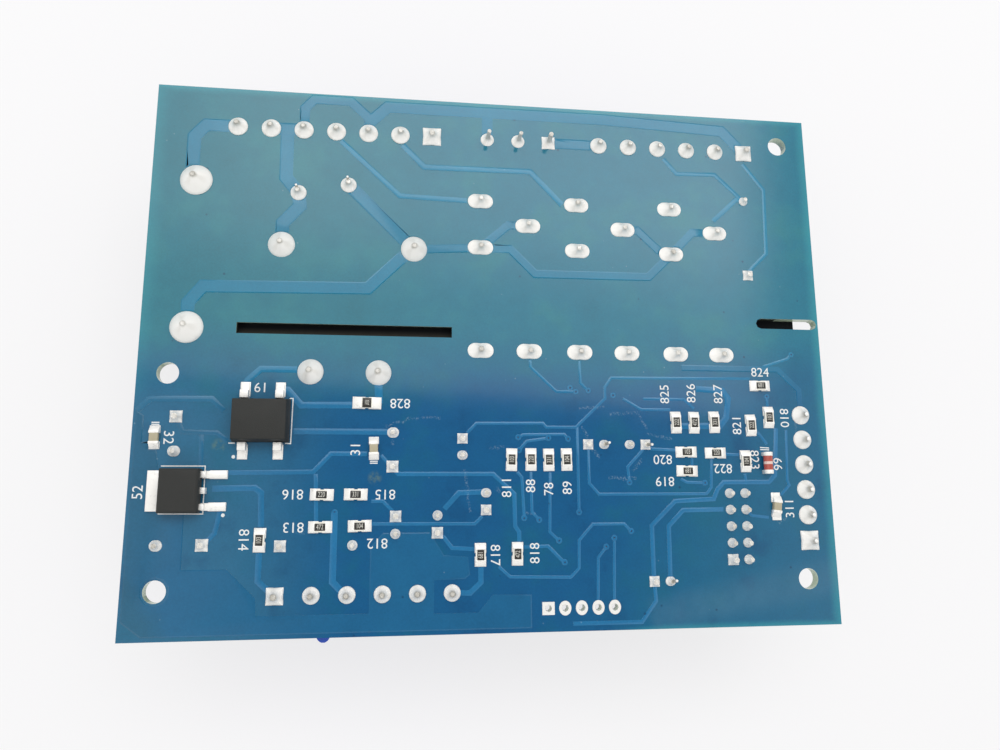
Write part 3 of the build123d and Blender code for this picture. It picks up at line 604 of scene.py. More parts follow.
def lacquer_tint(paint, looks, cover, drift, haze):
    """Colour of the lacquer, which drifts from place to place, is greener along the edges, and is lighter and
    greener in the upper half, partly as a painted reflection of the bright panel overhead.
    """
    # half rises from the lower to the upper half; the shift to the upper colours is partly a painted
    # reflection.
    half = paint.ramp(paint.y + paint.noise(0.045, 3, 0.55) * 10.0, -6.0, 10.0)
    below = half * -1.0 + 1.0
    west = paint.ramp(paint.x + drift * 16.0, -30.0, 14.0, 1.0, 0.0)
    shade = paint.mix(half, looks.lower, paint.mix(west, looks.upper, looks.upper_left))
    left = paint.ramp(paint.x + drift * 12.0, -34.0, -14.0, 0.8, 0.0) * below
    shade = paint.mix(left, shade, looks.left)
    right = paint.ramp(paint.x - paint.y * 0.5 + drift * 14.0, 32.0, 60.0, 0.0, 0.85) * below
    shade = paint.mix(right, shade, looks.right)
    green = paint.ramp(drift, 0.46, 0.72, 0.0, 0.6)
    shade = paint.mix(green, shade, paint.mix(half, looks.cloud_low, looks.cloud_high))
    shade = paint.mix(paint.ramp(drift, 0.28, 0.44, 0.4, 0.0) * below, shade, looks.deep)
    if cover != "bare":
        low, high = looks.track, looks.track_upper
        if cover == "copper":
            low, high = looks.copper, looks.copper_upper
        corner = left * paint.ramp(paint.x - paint.y * 0.6 + drift * 8.0, -34.0, -22.0, 1.0, 0.25)
        corner = corner.high(paint.ramp(paint.x + paint.y * 0.5 + haze * 2.0, -70.0, -64.0, 1.0, 0.0))
        shade = paint.mix(0.85, shade, paint.mix(half, paint.mix(corner, low, looks.copper_left), high))
    from_left = paint.x + HALF_LENGTH
    from_right = HALF_LENGTH - paint.x
    from_top = (HALF_WIDTH - paint.y) * 1.5
    from_low = (paint.y + HALF_WIDTH) * 1.8 + paint.ramp(paint.x, -10.0, 30.0, 6.0, 0.0)
    rim = paint.ramp(from_right.low(from_low).low(from_top) + haze * 1.2, 0.5, 2.5, 0.62, 0.0)
    rim = rim.high(paint.ramp(from_left + haze * 1.8, 0.6, 3.4, 0.4, 0.0) * half)
    return paint.mix(rim, shade, looks.edge)


def lacquer_wear(paint, looks, shade, drift, haze):
    """How much the lacquer is scratched or dusty, and its colour with all marks and a pale painted reflection
    at the lower right.
    """
    sway = (paint.noise(0.6, 3) - 0.5) * 1.1
    marks = None
    for first, last, strength in SCRATCHES:
        stroke = paint.stripe(first, last, 0.06, 0.34, sway) * strength * 0.6
        marks = marks.high(stroke) if marks else stroke
    dots = paint.ramp(paint.noise(4.5, 3, 0.7), 0.47, 0.62)
    dust = paint.ramp(paint.cells(0.42), 0.02, 0.07, 1.0, 0.0) * paint.ramp(paint.noise(0.21, 1), 0.5, 0.6)
    marks = marks * dots + dust * 0.22
    shade = paint.mix(marks, shade, looks.scratch)
    # A pale painted reflection along the strip at the lower right.
    smear = paint.stripe(*REFLECTION_STRIP, 0.5, 4.0, drift * 2.0) * paint.ramp(haze, 0.2, 0.8, 0.6, 1.0)
    shade = paint.mix(smear * 0.26, shade, looks.smear)
    speck = paint.ramp(paint.cells(0.23), 0.025, 0.06, 0.6, 0.0) * paint.ramp(paint.noise(0.13, 1), 0.42, 0.5)
    shade = paint.mix(speck, shade, looks.speck)
    stain = paint.spots(STAINS, 1.3) * paint.ramp(paint.noise(1.3, 3), 0.40, 0.66)
    return marks, paint.mix(stain * 0.45, shade, looks.stain)


def lacquer_walls(paint, looks, shade):
    """The colour with bare glass fibre on the cut walls, painted shade in the slots and plain blue underneath.
    """
    upward = paint.split(paint.node("ShaderNodeNewGeometry", None, None, "Normal"))[2]
    (middle_x, half_x), (middle_y, half_y) = SLOTS
    # Painted shade: in the slots the cut walls go near black below a thin lighter rim at the top.
    slots = paint.ramp((paint.y - middle_y).size(), half_y, half_y + 0.4, 1.0, 0.0)
    slots = slots * paint.ramp((paint.x - middle_x).size(), half_x, half_x + 0.5, 1.0, 0.0)
    slots = slots * paint.ramp(paint.z, TOP - 0.4, TOP - 0.12, 0.96, 0.25)
    fibre = paint.mix(paint.noise(2.5, 3), looks.core, (0.50, 0.62, 0.50))
    fibre = paint.mix(slots, fibre, (0.006, 0.007, 0.008))
    shade = paint.mix(paint.ramp(upward.size(), 0.3, 0.6, 1.0, 0.0), shade, fibre)
    beneath = paint.mix(paint.noise(0.12, 3), looks.under, (0.026, 0.150, 0.260))
    return paint.mix(paint.ramp(upward, -0.6, -0.3, 1.0, 0.0), shade, beneath)


def lacquer(context, name, cover="bare"):
    """Blue solder lacquer over bare board, copper or a track, with dust, specks and fine scratches, painted
    reflection in the upper half and at the lower right, and painted shade in the slots.
    """
    looks = context.scene.board_lacquer
    paint = Paint(name)
    drift = paint.noise(0.11, 4, 0.6)
    haze = paint.noise(0.35, 4, 0.6)
    grain = paint.noise(3.2, 3, 0.7)
    shade = lacquer_tint(paint, looks, cover, drift, haze)
    tone = haze * 0.16 + drift * 0.26 + grain * 0.34 + 0.62
    shade = paint.mix(1.0, shade, paint.grey(tone), "MULTIPLY")
    marks, shade = lacquer_wear(paint, looks, shade, drift, haze)
    paint.fix("Base Color", lacquer_walls(paint, looks, shade))
    paint.fix("Roughness", haze * 0.05 + marks * 0.5 + 0.07)
    paint.bump(paint.noise(0.30, 2) * 0.85 + grain * 0.05 + marks * 0.2, 0.006)
    return paint.material


def solder_paint(context):
    """Solder, bright on its land and at the lead's cut end, grey round the lead partly as painted shade, with
    painted shade in wedges round the big joints.
    """
    looks = context.scene.board_solder
    paint = Paint("solder", metallic=0.2, roughness=0.34)
    rise = paint.node("ShaderNodeAttribute", {"attribute_name": "rise"}, None, "Fac")
    facet_light = paint.node("ShaderNodeAttribute", {"attribute_name": "facet_light"}, None, "Fac")
    mottle = paint.noise(1.6, 4, 0.65)
    fine = paint.noise(7.0, 3, 0.6)
    # Darker wedges round the lead: painted shade between the highlights of a cone's facets.
    wedge_shade = paint.ramp(facet_light + (mottle - 0.5) * 0.6, 0.55, 1.0, 0.0, 0.35) * paint.ramp(rise, -0.6, 0.1)
    shade = paint.mix(wedge_shade, looks.bright, looks.wedge_shade)
    # Grey round the lead: partly painted shade of the pin's shaded side and of the dark overhead that its top
    # reflects.
    grey = paint.ramp(rise + (mottle - 0.5) * 0.35, 0.42, 0.80, 0.0, 0.80)
    shade = paint.mix(grey, shade, looks.grey)
    fleck = paint.ramp(fine + rise * 0.25, 0.72, 0.84, 0.0, 0.5) * paint.ramp(rise, 0.45, 0.8)
    paint.fix("Base Color", paint.mix(fleck, shade, looks.fleck))
    paint.fix("Roughness", mottle * 0.25 + grey * 0.45 + 0.22)
    paint.bump(mottle * 0.7 + fine * 0.3, 0.03)
    return paint.material


def tin(context, name):
    """Solder: bright and slightly frosted, with darker streaks where it cooled last."""
    bright = context.scene.board_solder.bright
    paint = Paint(name, metallic=0.5)
    mottle = paint.noise(1.8, 4, 0.6)
    dark = tuple(part * 0.72 for part in bright)
    paint.fix("Base Color", paint.mix(paint.ramp(mottle, 0.55, 0.8), bright, dark))
    paint.fix("Roughness", mottle * 0.25 + 0.38)
    paint.bump(mottle * 0.7 + paint.noise(9.0, 2) * 0.3, 0.02)
    return paint.material


def moulded(name, first, second, roughness, grain=3.0, depth=0.01, coat=0.0, specular=0.5):
    """Moulded plastic or ceramic: two near tones in a fine cloud, with a little texture."""
    paint = Paint(name, coat=coat, specular=specular)
    fine = paint.noise(grain, 3, 0.6)
    paint.fix("Base Color", paint.mix(paint.noise(0.25, 3) * 0.6 + fine * 0.4, first, second))
    paint.fix("Roughness", fine * 0.16 + roughness - 0.08)
    paint.bump(fine, depth)
    return paint.material


def metal(name, first, second):
    """Drawn or plated metal with faint streaks."""
    paint = Paint(name, metallic=0.9)
    fine = paint.noise(2.0, 4, 0.65)
    paint.fix("Base Color", paint.mix(paint.ramp(fine, 0.35, 0.7), first, second))
    paint.fix("Roughness", fine * 0.2 + 0.25)
    paint.bump(fine, 0.008)
    return paint.material


# ---------------------------------------------------------------- steps


def soft_panel(context, name, across, along, glow, fades, turn):
    """A soft panel over the board, its glow rising along y and fading at its sides."""
    lamp = bpy.data.lights.new(name, "AREA")
    lamp.shape = "RECTANGLE"
    lamp.size, lamp.size_y = across[1] - across[0], along[1] - along[0]
    lamp.energy = math.pi * lamp.size * lamp.size_y
    lamp.use_nodes = True
    tree = lamp.node_tree
    spot = tree.nodes.new("ShaderNodeNewGeometry")
    parts = tree.nodes.new("ShaderNodeSeparateXYZ")
    tree.links.new(spot.outputs["Parametric"], parts.inputs[0])
    total = None
    for axis, values in (
        ("Y", (0.2, 0.5, *glow)), ("X", (1.0 - fades[1], 1.0, 1.0, 0.0)), ("X", (0.0, fades[0], 0.55, 1.0)),
    ):
        ramp = soft_ramp(tree, parts.outputs[axis], values)
        if total:
            product = tree.nodes.new("ShaderNodeMath")
            product.operation = "MULTIPLY"
            tree.links.new(total, product.inputs[0])
            tree.links.new(ramp, product.inputs[1])
            total = product.outputs[0]
        else:
            total = ramp
    tree.links.new(total, tree.nodes["Emission"].inputs["Strength"])
    panel = bpy.data.objects.new(name, lamp)
    panel.rotation_euler = (0, 0, turn)
    panel.location = (sum(across) / 2, sum(along) / 2, FACE + context.scene.board_studio.panel_height)
    panel.visible_camera = False
    context.scene.collection.objects.link(panel)


def soft_ramp(tree, source, values):
    """Maps the source smoothly: its two limits, then the result at each."""
    ramp = tree.nodes.new("ShaderNodeMapRange")
    ramp.interpolation_type = "SMOOTHSTEP"
    tree.links.new(source, ramp.inputs[0])
    for socket, value in enumerate(values, 1):
        ramp.inputs[socket].default_value = value
    return ramp.outputs[0]


class BOARD_OT_studio(bpy.types.Operator):
    """Floor, surroundings, soft panel and camera"""

    bl_idname = "board.studio"
    bl_label = "Studio"

    def execute(self, context):
        studio = context.scene.board_studio
        floor = start("floor", bpy.ops.mesh.primitive_plane_add, size=studio.floor_size)
        paint = Paint("floor_paint", roughness=0.9, specular=0.1)
        cloud = paint.noise(0.01, 2)
        lighter = tuple(min(1.0, part * 1.03) for part in studio.floor_colour)
        paint.fix("Base Color", paint.mix(cloud, studio.floor_colour, lighter))
        shine = paint.node("ShaderNodeEmission", None, {"Color": (0.955, 0.95, 0.96), "Strength": 1.0})
        rays = [paint.node("ShaderNodeLightPath", None, None, name) for name in
                ("Is Camera Ray", "Is Glossy Ray", "Is Transmission Ray")]
        seen = rays[0].high(rays[1]).high(rays[2])
        both = paint.node("ShaderNodeMixShader", None, {0: seen * 0.7})
        paint.tree.links.new(paint.shader.outputs[0], both.socket.node.inputs[1])
        paint.tree.links.new(shine.socket, both.socket.node.inputs[2])
        paint.tree.links.new(both.socket, paint.tree.nodes["Material Output"].inputs[0])
        floor.data.materials.append(paint.material)

        world = bpy.data.worlds.new("surroundings")
        context.scene.world = world
        world.use_nodes = True
        tree = world.node_tree
        place = tree.nodes.new("ShaderNodeTexCoord")
        parts = tree.nodes.new("ShaderNodeSeparateXYZ")
        tree.links.new(place.outputs["Generated"], parts.inputs[0])
        rise = soft_ramp(tree, parts.outputs["Z"], (0.84, 0.975, studio.sky_low, studio.sky_high))
        tree.links.new(rise, tree.nodes["Background"].inputs["Strength"])
        tree.nodes["Background"].inputs["Color"].default_value = (1.0, 0.995, 0.985, 1.0)

        soft_panel(
            context, "soft_panel", across=(-0.26, 0.34), along=(0.065, 0.394),
            glow=(studio.panel_glow, studio.panel_glow + studio.panel_far), fades=(0.25, 0.12),
            turn=math.radians(-3.5),
        )
        soft_panel(
            context, "side_panel", across=(-0.40, -0.06), along=(-0.30, 0.068),
            glow=(studio.side_glow, studio.side_glow), fades=(0.05, 0.4), turn=0.0,
        )

        lens = bpy.data.cameras.new("camera")
        lens.lens = studio.camera_lens
        lens.sensor_width = 36.0
        lens.shift_x, lens.shift_y = studio.camera_shift
        lens.clip_start = 2 * MM
        eye = bpy.data.objects.new("camera", lens)
        eye.location = studio.camera_place
        eye.rotation_euler = studio.camera_turn
        context.scene.collection.objects.link(eye)
        context.scene.camera = eye
        context.scene.view_settings.view_transform = "Standard"
        return {"FINISHED"}


# Fine tracks by width: the bends of each from end to end, in millimetres from the board's middle.
FINE_TRACKS = {
    0.45: [
        [(-0.1, -32.5), (1.6, -34.0), (10.8, -34.2), (12.1, -32.9), (12.2, -28.8), (14.4, -26.4),
         (19.3, -26.4), (20.4, -27.5)],
        [(-4.9, -12.6), (-3.5, -11.1), (6.9, -11.0), (7.4, -11.6), (12.1, -11.6), (16.9, -7.0),
         (16.9, -5.2), (18.0, -3.7), (41.1, -3.5)],
        [(12.3, -11.6), (12.3, -24.6)], [(3.0, -13.2), (3.8, -12.8), (10.2, -12.7), (10.8, -13.4)],
        [(3.1, -15.2), (4.3, -13.8), (7.7, -13.3)], [(5.0, -1.1), (5.1, -2.2), (9.1, -6.0), (12.2, -6.0)],
        [(12.9, -1.1), (13.0, -4.6), (14.2, -5.8)], [(19.8, -7.0), (22.7, -8.7), (27.5, -8.7)],
        [(23.1, -7.0), (29.8, -7.0), (31.4, -8.5)], [(43.5, -1.5), (47.8, -0.1), (48.5, 0.6)],
        [(43.8, -6.4), (43.8, -8.2)],
        [(14.0, -14.2), (14.0, -20.2), (15.5, -21.9), (32.8, -21.9), (33.6, -20.9), (33.9, -16.3)],
        [(23.3, -14.3), (22.6, -15.2), (20.2, -17.7), (20.4, -20.1)], [(23.9, -14.9), (28.1, -15.1)],
        [(30.7, -15.4), (30.6, -18.4)], [(28.7, -19.6), (29.7, -20.1), (32.6, -20.2)],
        [(36.3, -15.7), (38.5, -15.8)], [(39.3, -18.8), (39.4, -19.9)], [(41.9, -12.2), (43.3, -14.1)],
        [(46.7, -11.8), (46.3, -19.8), (46.6, -20.6), (45.1, -22.1)],
        [(42.8, -25.6), (40.0, -25.3), (39.0, -24.3)], [(14.9, -38.0), (15.1, -31.4), (16.4, -29.8)],
        [(17.4, -38.1), (17.7, -28.5)], [(7.9, -18.6), (7.7, -27.5), (9.1, -28.8)],
        [(4.9, -18.5), (5.0, -24.5), (6.1, -25.7)], [(2.8, -18.5), (3.5, -19.3), (3.8, -25.4)],
    ],
    0.5: [
        [(-17.8, -16.0), (-16.2, -17.8)], [(-19.1, -22.8), (-17.4, -22.8), (-16.0, -24.2)],
        [(-19.1, -26.1), (-3.7, -26.2), (-2.6, -25.1)],
        [(3.6, -29.7), (7.4, -29.6), (9.5, -31.7), (9.9, -32.0)],
    ],
    0.6: [
        [(-27.3, -18.8), (-27.0, -25.8)], [(-9.4, -27.5), (-8.3, -28.2), (-7.1, -29.7), (-3.7, -29.9)],
        [(23.7, -35.1), (23.8, -36.2), (23.9, -37.9), (21.6, -40.9), (11.0, -40.9)],
    ],
    0.65: [
        [(42.2, 33.7), (45.7, 29.2), (45.4, 17.8), (42.8, 15.3), (41.8, 14.0)],
        [(-16.2, -17.8), (-15.2, -18.8), (-0.9, -18.8), (2.3, -21.8), (2.4, -26.6), (3.0, -27.5),
         (3.0, -28.9)],
    ],
    0.7: [
        [(28.2, 33.9), (30.4, 31.3), (37.1, 31.5), (40.6, 28.2), (41.9, 26.9)],
        [(-47.5, -10.4), (-46.6, -12.7), (-41.7, -12.8), (-40.1, -14.0)], [(-43.9, -13.1), (-43.6, -18.2)],
        [(-39.8, -18.6), (-27.7, -18.5), (-25.2, -15.8), (-19.9, -15.8)],
        [(-40.6, -24.0), (-41.2, -27.2), (-42.3, -28.4)],
        [(45.0, -11.5), (44.3, -19.0), (43.2, -20.1), (35.7, -20.1), (34.6, -21.2), (33.9, -22.7),
         (27.6, -23.0), (23.7, -26.7), (23.7, -34.4)],
        [(35.4, -24.3), (28.8, -24.4), (26.4, -26.8), (26.3, -34.4)],
    ],
    0.8: [
        [(36.4, 23.2), (40.7, 27.2), (41.9, 26.9)], [(-8.3, -24.0), (-6.1, -21.6), (-2.6, -21.5)],
        [(-2.8, -32.5), (-2.8, -34.7), (-4.4, -36.2), (-7.1, -36.1)],
    ],
    0.85: [
        [(-25.2, 34.1), (-15.7, 25.2), (-5.0, 24.9)],
    ],
    0.9: [
        [(-30.8, -12.5), (-16.1, -12.5)], [(-53.2, -9.6), (-51.4, -7.9), (-42.7, -7.8), (-40.9, -9.6)],
        [(-41.9, -20.9), (-35.9, -20.8), (-35.0, -21.5), (-34.8, -26.4)],
        [(-34.9, -30.1), (-34.9, -34.0), (-33.8, -35.0), (-32.4, -36.2)],
    ],
    0.95: [
        [(-15.4, 33.9), (-11.9, 30.3), (5.4, 30.4), (10.6, 24.9)],
    ],
    1.0: [
        [(-30.6, -3.2), (-35.9, -3.2), (-37.8, -5.0), (-38.2, -6.3)],
        [(-33.0, -6.3), (-31.8, -6.3), (-29.8, -8.6), (-22.3, -8.5)],
        [(-24.4, -24.4), (-24.4, -34.3), (-23.3, -35.4), (-22.3, -36.1)],
        [(28.3, -11.3), (35.6, -11.2), (36.7, -9.9), (37.2, -6.8), (36.3, -5.5), (31.9, -5.3)],
    ],
    1.2: [
        [(-18.5, -3.5), (-18.3, -8.2)],
    ],
}

TRACK_STEP = 0.002 * MM  # by how much each width lies over the narrower ones, so that none coincide

# Small holes that carry a signal to the other side.
VIAS = [
    (9.9, -32.0), (48.5, 0.6), (43.8, -6.4), (20.4, -20.1), (32.6, -20.2), (16.4, -29.8), (17.7, -28.5),
    (9.1, -28.8), (6.1, -25.7), (3.8, -25.4), (-24.4, -24.4), (11.3, -5.4), (18.2, -6.5), (7.7, -13.3),
    (10.8, -13.4), (12.2, -6.0), (14.2, -5.8), (20.4, -27.5), (3.0, -13.2), (3.1, -15.2), (12.3, -24.6),
]


class BOARD_OT_lacquer(bpy.types.Operator):
    """Solder lacquer on the board's plate"""

    bl_idname = "board.lacquer"
    bl_label = "Lacquer"

    def execute(self, context):
        repaint("circuit_board", lacquer(context, "lacquer"))
        return {"FINISHED"}


class BOARD_OT_wide_copper(bpy.types.Operator):
    """Wide copper under the lacquer, with sloping shoulders"""

    bl_idname = "board.wide_copper"
    bl_label = "Wide copper"

    def execute(self, context):
        copper = context.scene.board_copper
        tracks = copy_node("power_tracks", "wide_copper")
        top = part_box("power_tracks")[1].z
        edit(tracks)
        pick("VERT", lambda vertex: vertex.co.z > top - 0.01 * MM)
        shift(0, 0, FACE + copper.sill - top)
        raised = FACE + 0.01 * MM
        if not pick("FACE", lambda part: part.normal.z > 0.9 and part.calc_center_median().z > raised):
            raise RuntimeError("the wide copper has no upper side")
        bpy.ops.mesh.inset(thickness=copper.shoulder, depth=copper.height - copper.sill, use_even_offset=True)
        close()
        finish(tracks, lacquer(context, "lacquer_over_copper", "copper"), "power_tracks", angle=20)
        return {"FINISHED"}


class BOARD_OT_fine_copper(bpy.types.Operator):
    """Fine signal tracks and the rings round the small through holes"""

    bl_idname = "board.fine_copper"
    bl_label = "Fine copper"

    def execute(self, context):
        copper = context.scene.board_copper
        sill = 0.3 * copper.height
        pieces = []
        for step, (width, lines) in enumerate(sorted(FINE_TRACKS.items())):
            piece = draw_lines("fine_track", lines, width * MM, FACE + step * TRACK_STEP, sill)
            edit(piece, everything=True)
            bpy.ops.mesh.normals_make_consistent(inside=False)
            pick("FACE", lambda part: part.normal.z > 0.9)
            slope = min(copper.shoulder, 0.25 * width * MM)
            bpy.ops.mesh.inset(thickness=slope, depth=copper.height - sill, use_even_offset=True)
            close()
            pieces.append(piece)
        tracks = join("fine_copper", pieces)
        finish(tracks, lacquer(context, "lacquer_over_track", "track"), slot="power_tracks", angle=20)

        ring = disc("via", copper.via / 2, 16, (0, 0, 0.01 * MM))
        flat = 0.84  # where the ring's top begins, as a share of its radius
        inner = copper.via_hole / copper.via
        grow(flat, flat, copper.height + 0.025 * MM)
        grow(inner / flat, inner / flat, 0)
        grow(0.8, 0.8, -0.05 * MM)
        close()
        ring.data.materials.append(lacquer(context, "lacquer_over_via", "track"))
        ring.data.materials.append(moulded("via_dimple", (0.010, 0.040, 0.110), (0.016, 0.060, 0.140), 0.3))
        edit(ring)
        pick("FACE", lambda part: part.calc_center_median().length < 0.01 * MM + copper.height
             and part.normal.z > 0.9 and part.calc_area() < copper.via_hole ** 2)
        ring.active_material_index = 1
        bpy.ops.object.material_slot_assign()
        close()
        twins = [copy_to(ring, (x * MM, y * MM, FACE)) for x, y in VIAS]
        vias = set_down("vias", twins, ring)
        finish(vias, None, slot="power_tracks", angle=25)
        return {"FINISHED"}


# Outline of a joint from its land to its top: how far in, how far up.
CONE = [(0.02, 0.06), (0.12, 0.17), (0.3, 0.36), (0.5, 0.54), (0.7, 0.73), (0.88, 0.89), (1.0, 1.0)]
FILLET = [(0.02, 0.08), (0.12, 0.15), (0.32, 0.26), (0.55, 0.42), (0.75, 0.60), (0.90, 0.80), (1.0, 1.0)]
WIDE_LAND = 3.6 * MM  # a round land wider than this carries a cone
GREY_REACH = 1.3 * MM  # distance from the lead at which the rise is nought
# The grey round a lead is partly painted shade; the row below LOW_ROW gets the darkest, a cut end some of it.
LOW_ROW = -33 * MM  # the joints of the row below this are the greyest
CUT_END = 0.66  # rise at a lead's cut end
SAME_LEVEL = 0.006 * MM  # points this near in height belong to one ring
LEAN = 0.03  # how far a joint leans at most, in radians
# Waists of the lands: how far from the middle of a side, and how far that part is drawn in.
SQUARE_WAIST = ((0.10, 0.965), (0.35, 0.985))
SQUARE_CORNER = 0.035  # how far a square land's corners are cut, as a share of its width


def land_outline(square, wide, deep, sides):
    """The filled foot of a joint: a square with drawn-in sides, a circle, or a long round with a waist."""
    if square:
        piece = start("joint", bpy.ops.mesh.primitive_plane_add, size=1)
        piece.scale = (wide, deep, 1)
        settle(piece)
        edit(piece, everything=True)
        bpy.ops.mesh.bevel(offset=SQUARE_CORNER * wide, segments=2, affect="VERTICES")
        pick("EDGE", lambda part: part.calc_length() > 0.5 * wide)
        bpy.ops.mesh.subdivide(number_cuts=3)
        for spread, draw in SQUARE_WAIST:
            pick("VERT", lambda vertex: min(abs(vertex.co.x) / wide, abs(vertex.co.y) / deep) < spread)
            bpy.ops.transform.resize(value=(draw, draw, 1), center_override=(0, 0, 0))
    else:
        piece = disc("joint", min(wide, deep) / 2, sides, turn=math.pi / sides)
        half = (wide - deep) / 2
        if half > 0.1 * MM:
            for side in (-1, 1):
                pick("VERT", lambda vertex: vertex.co.x * side > 0 and abs(vertex.co.x) < half + deep)
                shift(side * half, 0, 0)
            pick("EDGE", lambda part: part.calc_length() > half)
            bpy.ops.mesh.subdivide(number_cuts=3)
            for spread, draw in ((0.05, 0.975), (0.5 * half / MM, 0.985)):
                waist = spread * MM
                pick("VERT", lambda vertex: abs(vertex.co.x) < waist and abs(vertex.co.y) > 0.3 * deep)
                bpy.ops.transform.resize(value=(1, draw, 1), center_override=(0, 0, 0))
    pick("FACE", lambda part: True)
    return piece


def joint_model(shell, solder, sides):
    """One solder joint round the origin, from the rim of its land up to the cut end of its lead."""
    square, rings = shell
    foot_x, foot_y = rings[0][1], rings[0][2]
    neck_z, neck = rings[1][0], rings[1][1]
    top = rings[-1][0]
    piece = land_outline(square, foot_x, foot_y, sides)
    width_x, width_y, height = foot_x, foot_y, 0.0
    inner = 0.8 * neck
    for inward, upward in CONE if WIDE_LAND < foot_x < 1.2 * foot_y else FILLET:
        new_x = foot_x + (inner - foot_x) * inward
        new_y = foot_y + (inner - foot_y) * inward
        grow(new_x / width_x, new_y / width_y, neck_z * upward - height)
        if square and inward > 0.1:
            bpy.ops.transform.tosphere(value=0.3)
        width_x, width_y, height = new_x, new_y, neck_z * upward
    bare = top - neck_z
    reach = min(GREY_REACH, 0.45 * min(foot_x, foot_y))
    stub = bare + (0.07 if bare < 0.5 * MM else -0.04) * MM
    for shrink, rise in ((0.92, -0.03 * MM), (0.94, stub), (0.8, 0.03 * MM), (0.5, -0.03 * MM)):
        grow(shrink, shrink, rise)
    close()
    piece.data.materials.append(solder)
    rise = piece.data.attributes.new("rise", "FLOAT", "POINT")
    facet_light = piece.data.attributes.new("facet_light", "FLOAT", "POINT")
    for vertex, share, wedge_shade in zip(piece.data.vertices, rise.data, facet_light.data):
        cut = vertex.co.z > neck_z + stub - 0.05 * MM
        share.value = CUT_END if cut else 1 - vertex.co.xy.length / reach
        # Three light and dark wedges round the lead, which the solder paint turns into painted shade.
        wedge_shade.value = 0.5 + 0.5 * math.cos(3 * math.atan2(vertex.co.y, vertex.co.x) + 0.7)
    return piece


# Wires cut long: place, height over the lacquer, thickness and lean.
LONG_WIRES = [
    (16.52, -14.25, 2.5, 0.5, (-0.05, 0.10)),
    (23.17, -14.25, 2.5, 0.5, (0.06, 0.14)),
    (26.32, -35.05, 2.3, 0.5, (-0.12, 0.10)),
    (-31.5, 25.0, 1.9, 0.45, (-0.35, -0.12)),
    (-23.8, 26.7, 1.9, 0.45, (-0.35, -0.05)),
]
PANEL_POST = 2.1  # how far the posts of the header at the right stand out, in millimetres
PANEL_POST_WIDTH = 0.72
WIRE_START = 0.2  # height at which a wire leaves its joint
WIRE_RINGS = ((0.96, 0.45), (0.94, 0.40), (0.86, 0.12), (0.6, 0.03))  # shrinking of each, share of the height


def wire_end(x, y, height, thick, lean, paint):
    """The cut end of a wire that stands out of its joint."""
    wire = disc("wire", thick * MM / 2, 12, (0, 0, WIRE_START * MM))
    for shrink, share in WIRE_RINGS:
        grow(shrink, shrink, share * (height - WIRE_START) * MM)
    close()
    wire.data.materials.append(paint)
    rise = wire.data.attributes.new("rise", "FLOAT", "POINT")
    # The wire's shaft gets the painted grey of its shaded side; its tip keeps the bright solder colour.
    for vertex, share in zip(wire.data.vertices, rise.data):
        share.value = 0.3 if vertex.co.z > 0.95 * height * MM else 0.78
    wire.location = (x * MM, y * MM, FACE)
    wire.rotation_euler = (*lean, 0)
    return settle(wire)


def joint_kinds():
    """Places of the joints by shape: whether the land is square, then height and size of each ring."""
    kinds = {}
    shells = shells_of("solder_joints")
    for shell in shells:
        points = [vertex.co for vertex in shell.data.vertices]
        rings = []
        for level in sorted({round((point.z - FACE) / MM, 2) for point in points}):
            ring = [point for point in points if abs(point.z - FACE - level * MM) < SAME_LEVEL]
            across = max(point.x for point in ring) - min(point.x for point in ring)
            along = max(point.y for point in ring) - min(point.y for point in ring)
            rings.append((level * MM, round(across / MM, 1) * MM, round(along / MM, 1) * MM))
        foot = [point for point in points if point.z < FACE + SAME_LEVEL]
        middle = sum(foot, Vector()) / len(foot)
        kinds.setdefault((len(foot) == 4, tuple(rings)), []).append((middle.x, middle.y, FACE))
    remove(*shells)
    return kinds


class BOARD_OT_solder(bpy.types.Operator):
    """Solder joints, one shape for each size of land"""

    bl_idname = "board.solder"
    bl_label = "Solder joints"

    def execute(self, context):
        looks = context.scene.board_solder
        solder = solder_paint(context)
        kinds = joint_kinds()
        if not kinds:
            raise RuntimeError("no solder joint was found on the board")
        chance = random.Random(7)
        twins = []
        for shell, places in sorted(kinds.items()):
            model = joint_model(shell, solder, looks.sides)
            for place in places:
                lean = (chance.uniform(-LEAN, LEAN), chance.uniform(-LEAN, LEAN))
                twin = copy_to(model, place, lean=lean)
                low_row = place[0] < 0 and place[1] < LOW_ROW
                # Some joints get less of the painted grey round the lead, the low row more.
                less_grey = -0.04 if low_row else chance.uniform(0.0, 0.08)  # how much less grey
                for share in twin.data.attributes["rise"].data:
                    share.value -= less_grey
                twins.append(twin)
            remove(model)
        wires = [wire_end(*wire, solder) for wire in LONG_WIRES]
        for low, high in islands("panel_posts"):
            middle = (low + high) / 2 / MM
            wires.append(wire_end(middle.x, middle.y, PANEL_POST, PANEL_POST_WIDTH, (0, 0), solder))
        joints = join("soldered_joints", [set_down("soldered_joints", twins), *wires])
        finish(joints, None, "solder_joints", angle=40)
        return {"FINISHED"}


LAND_RISE = 0.16 * MM  # height of the solder on the larger lands


def wedge(inner, outer, width, height, foot, paint):
    """Solder that climbs from the outer end of a land up to the end of a chip, along x."""
    piece = block((inner, -width / 2, 0), (outer, width / 2, height), paint=paint)
    edit(piece)
    pick("VERT", lambda vertex: vertex.co.z > height / 2 and abs(vertex.co.x - outer) < 0.01 * MM)
    shift(0, 0, foot - height)
    pick("FACE", lambda part: part.normal.z > 0.3)
    bpy.ops.mesh.subdivide(number_cuts=1)
    bpy.ops.mesh.select_all(action="SELECT")
    bpy.ops.mesh.bevel(offset=0.06 * MM, segments=2, affect="EDGES")
    close()
    return piece


FIGURE_SHARE = 0.72  # height of a figure as a share of the font's size


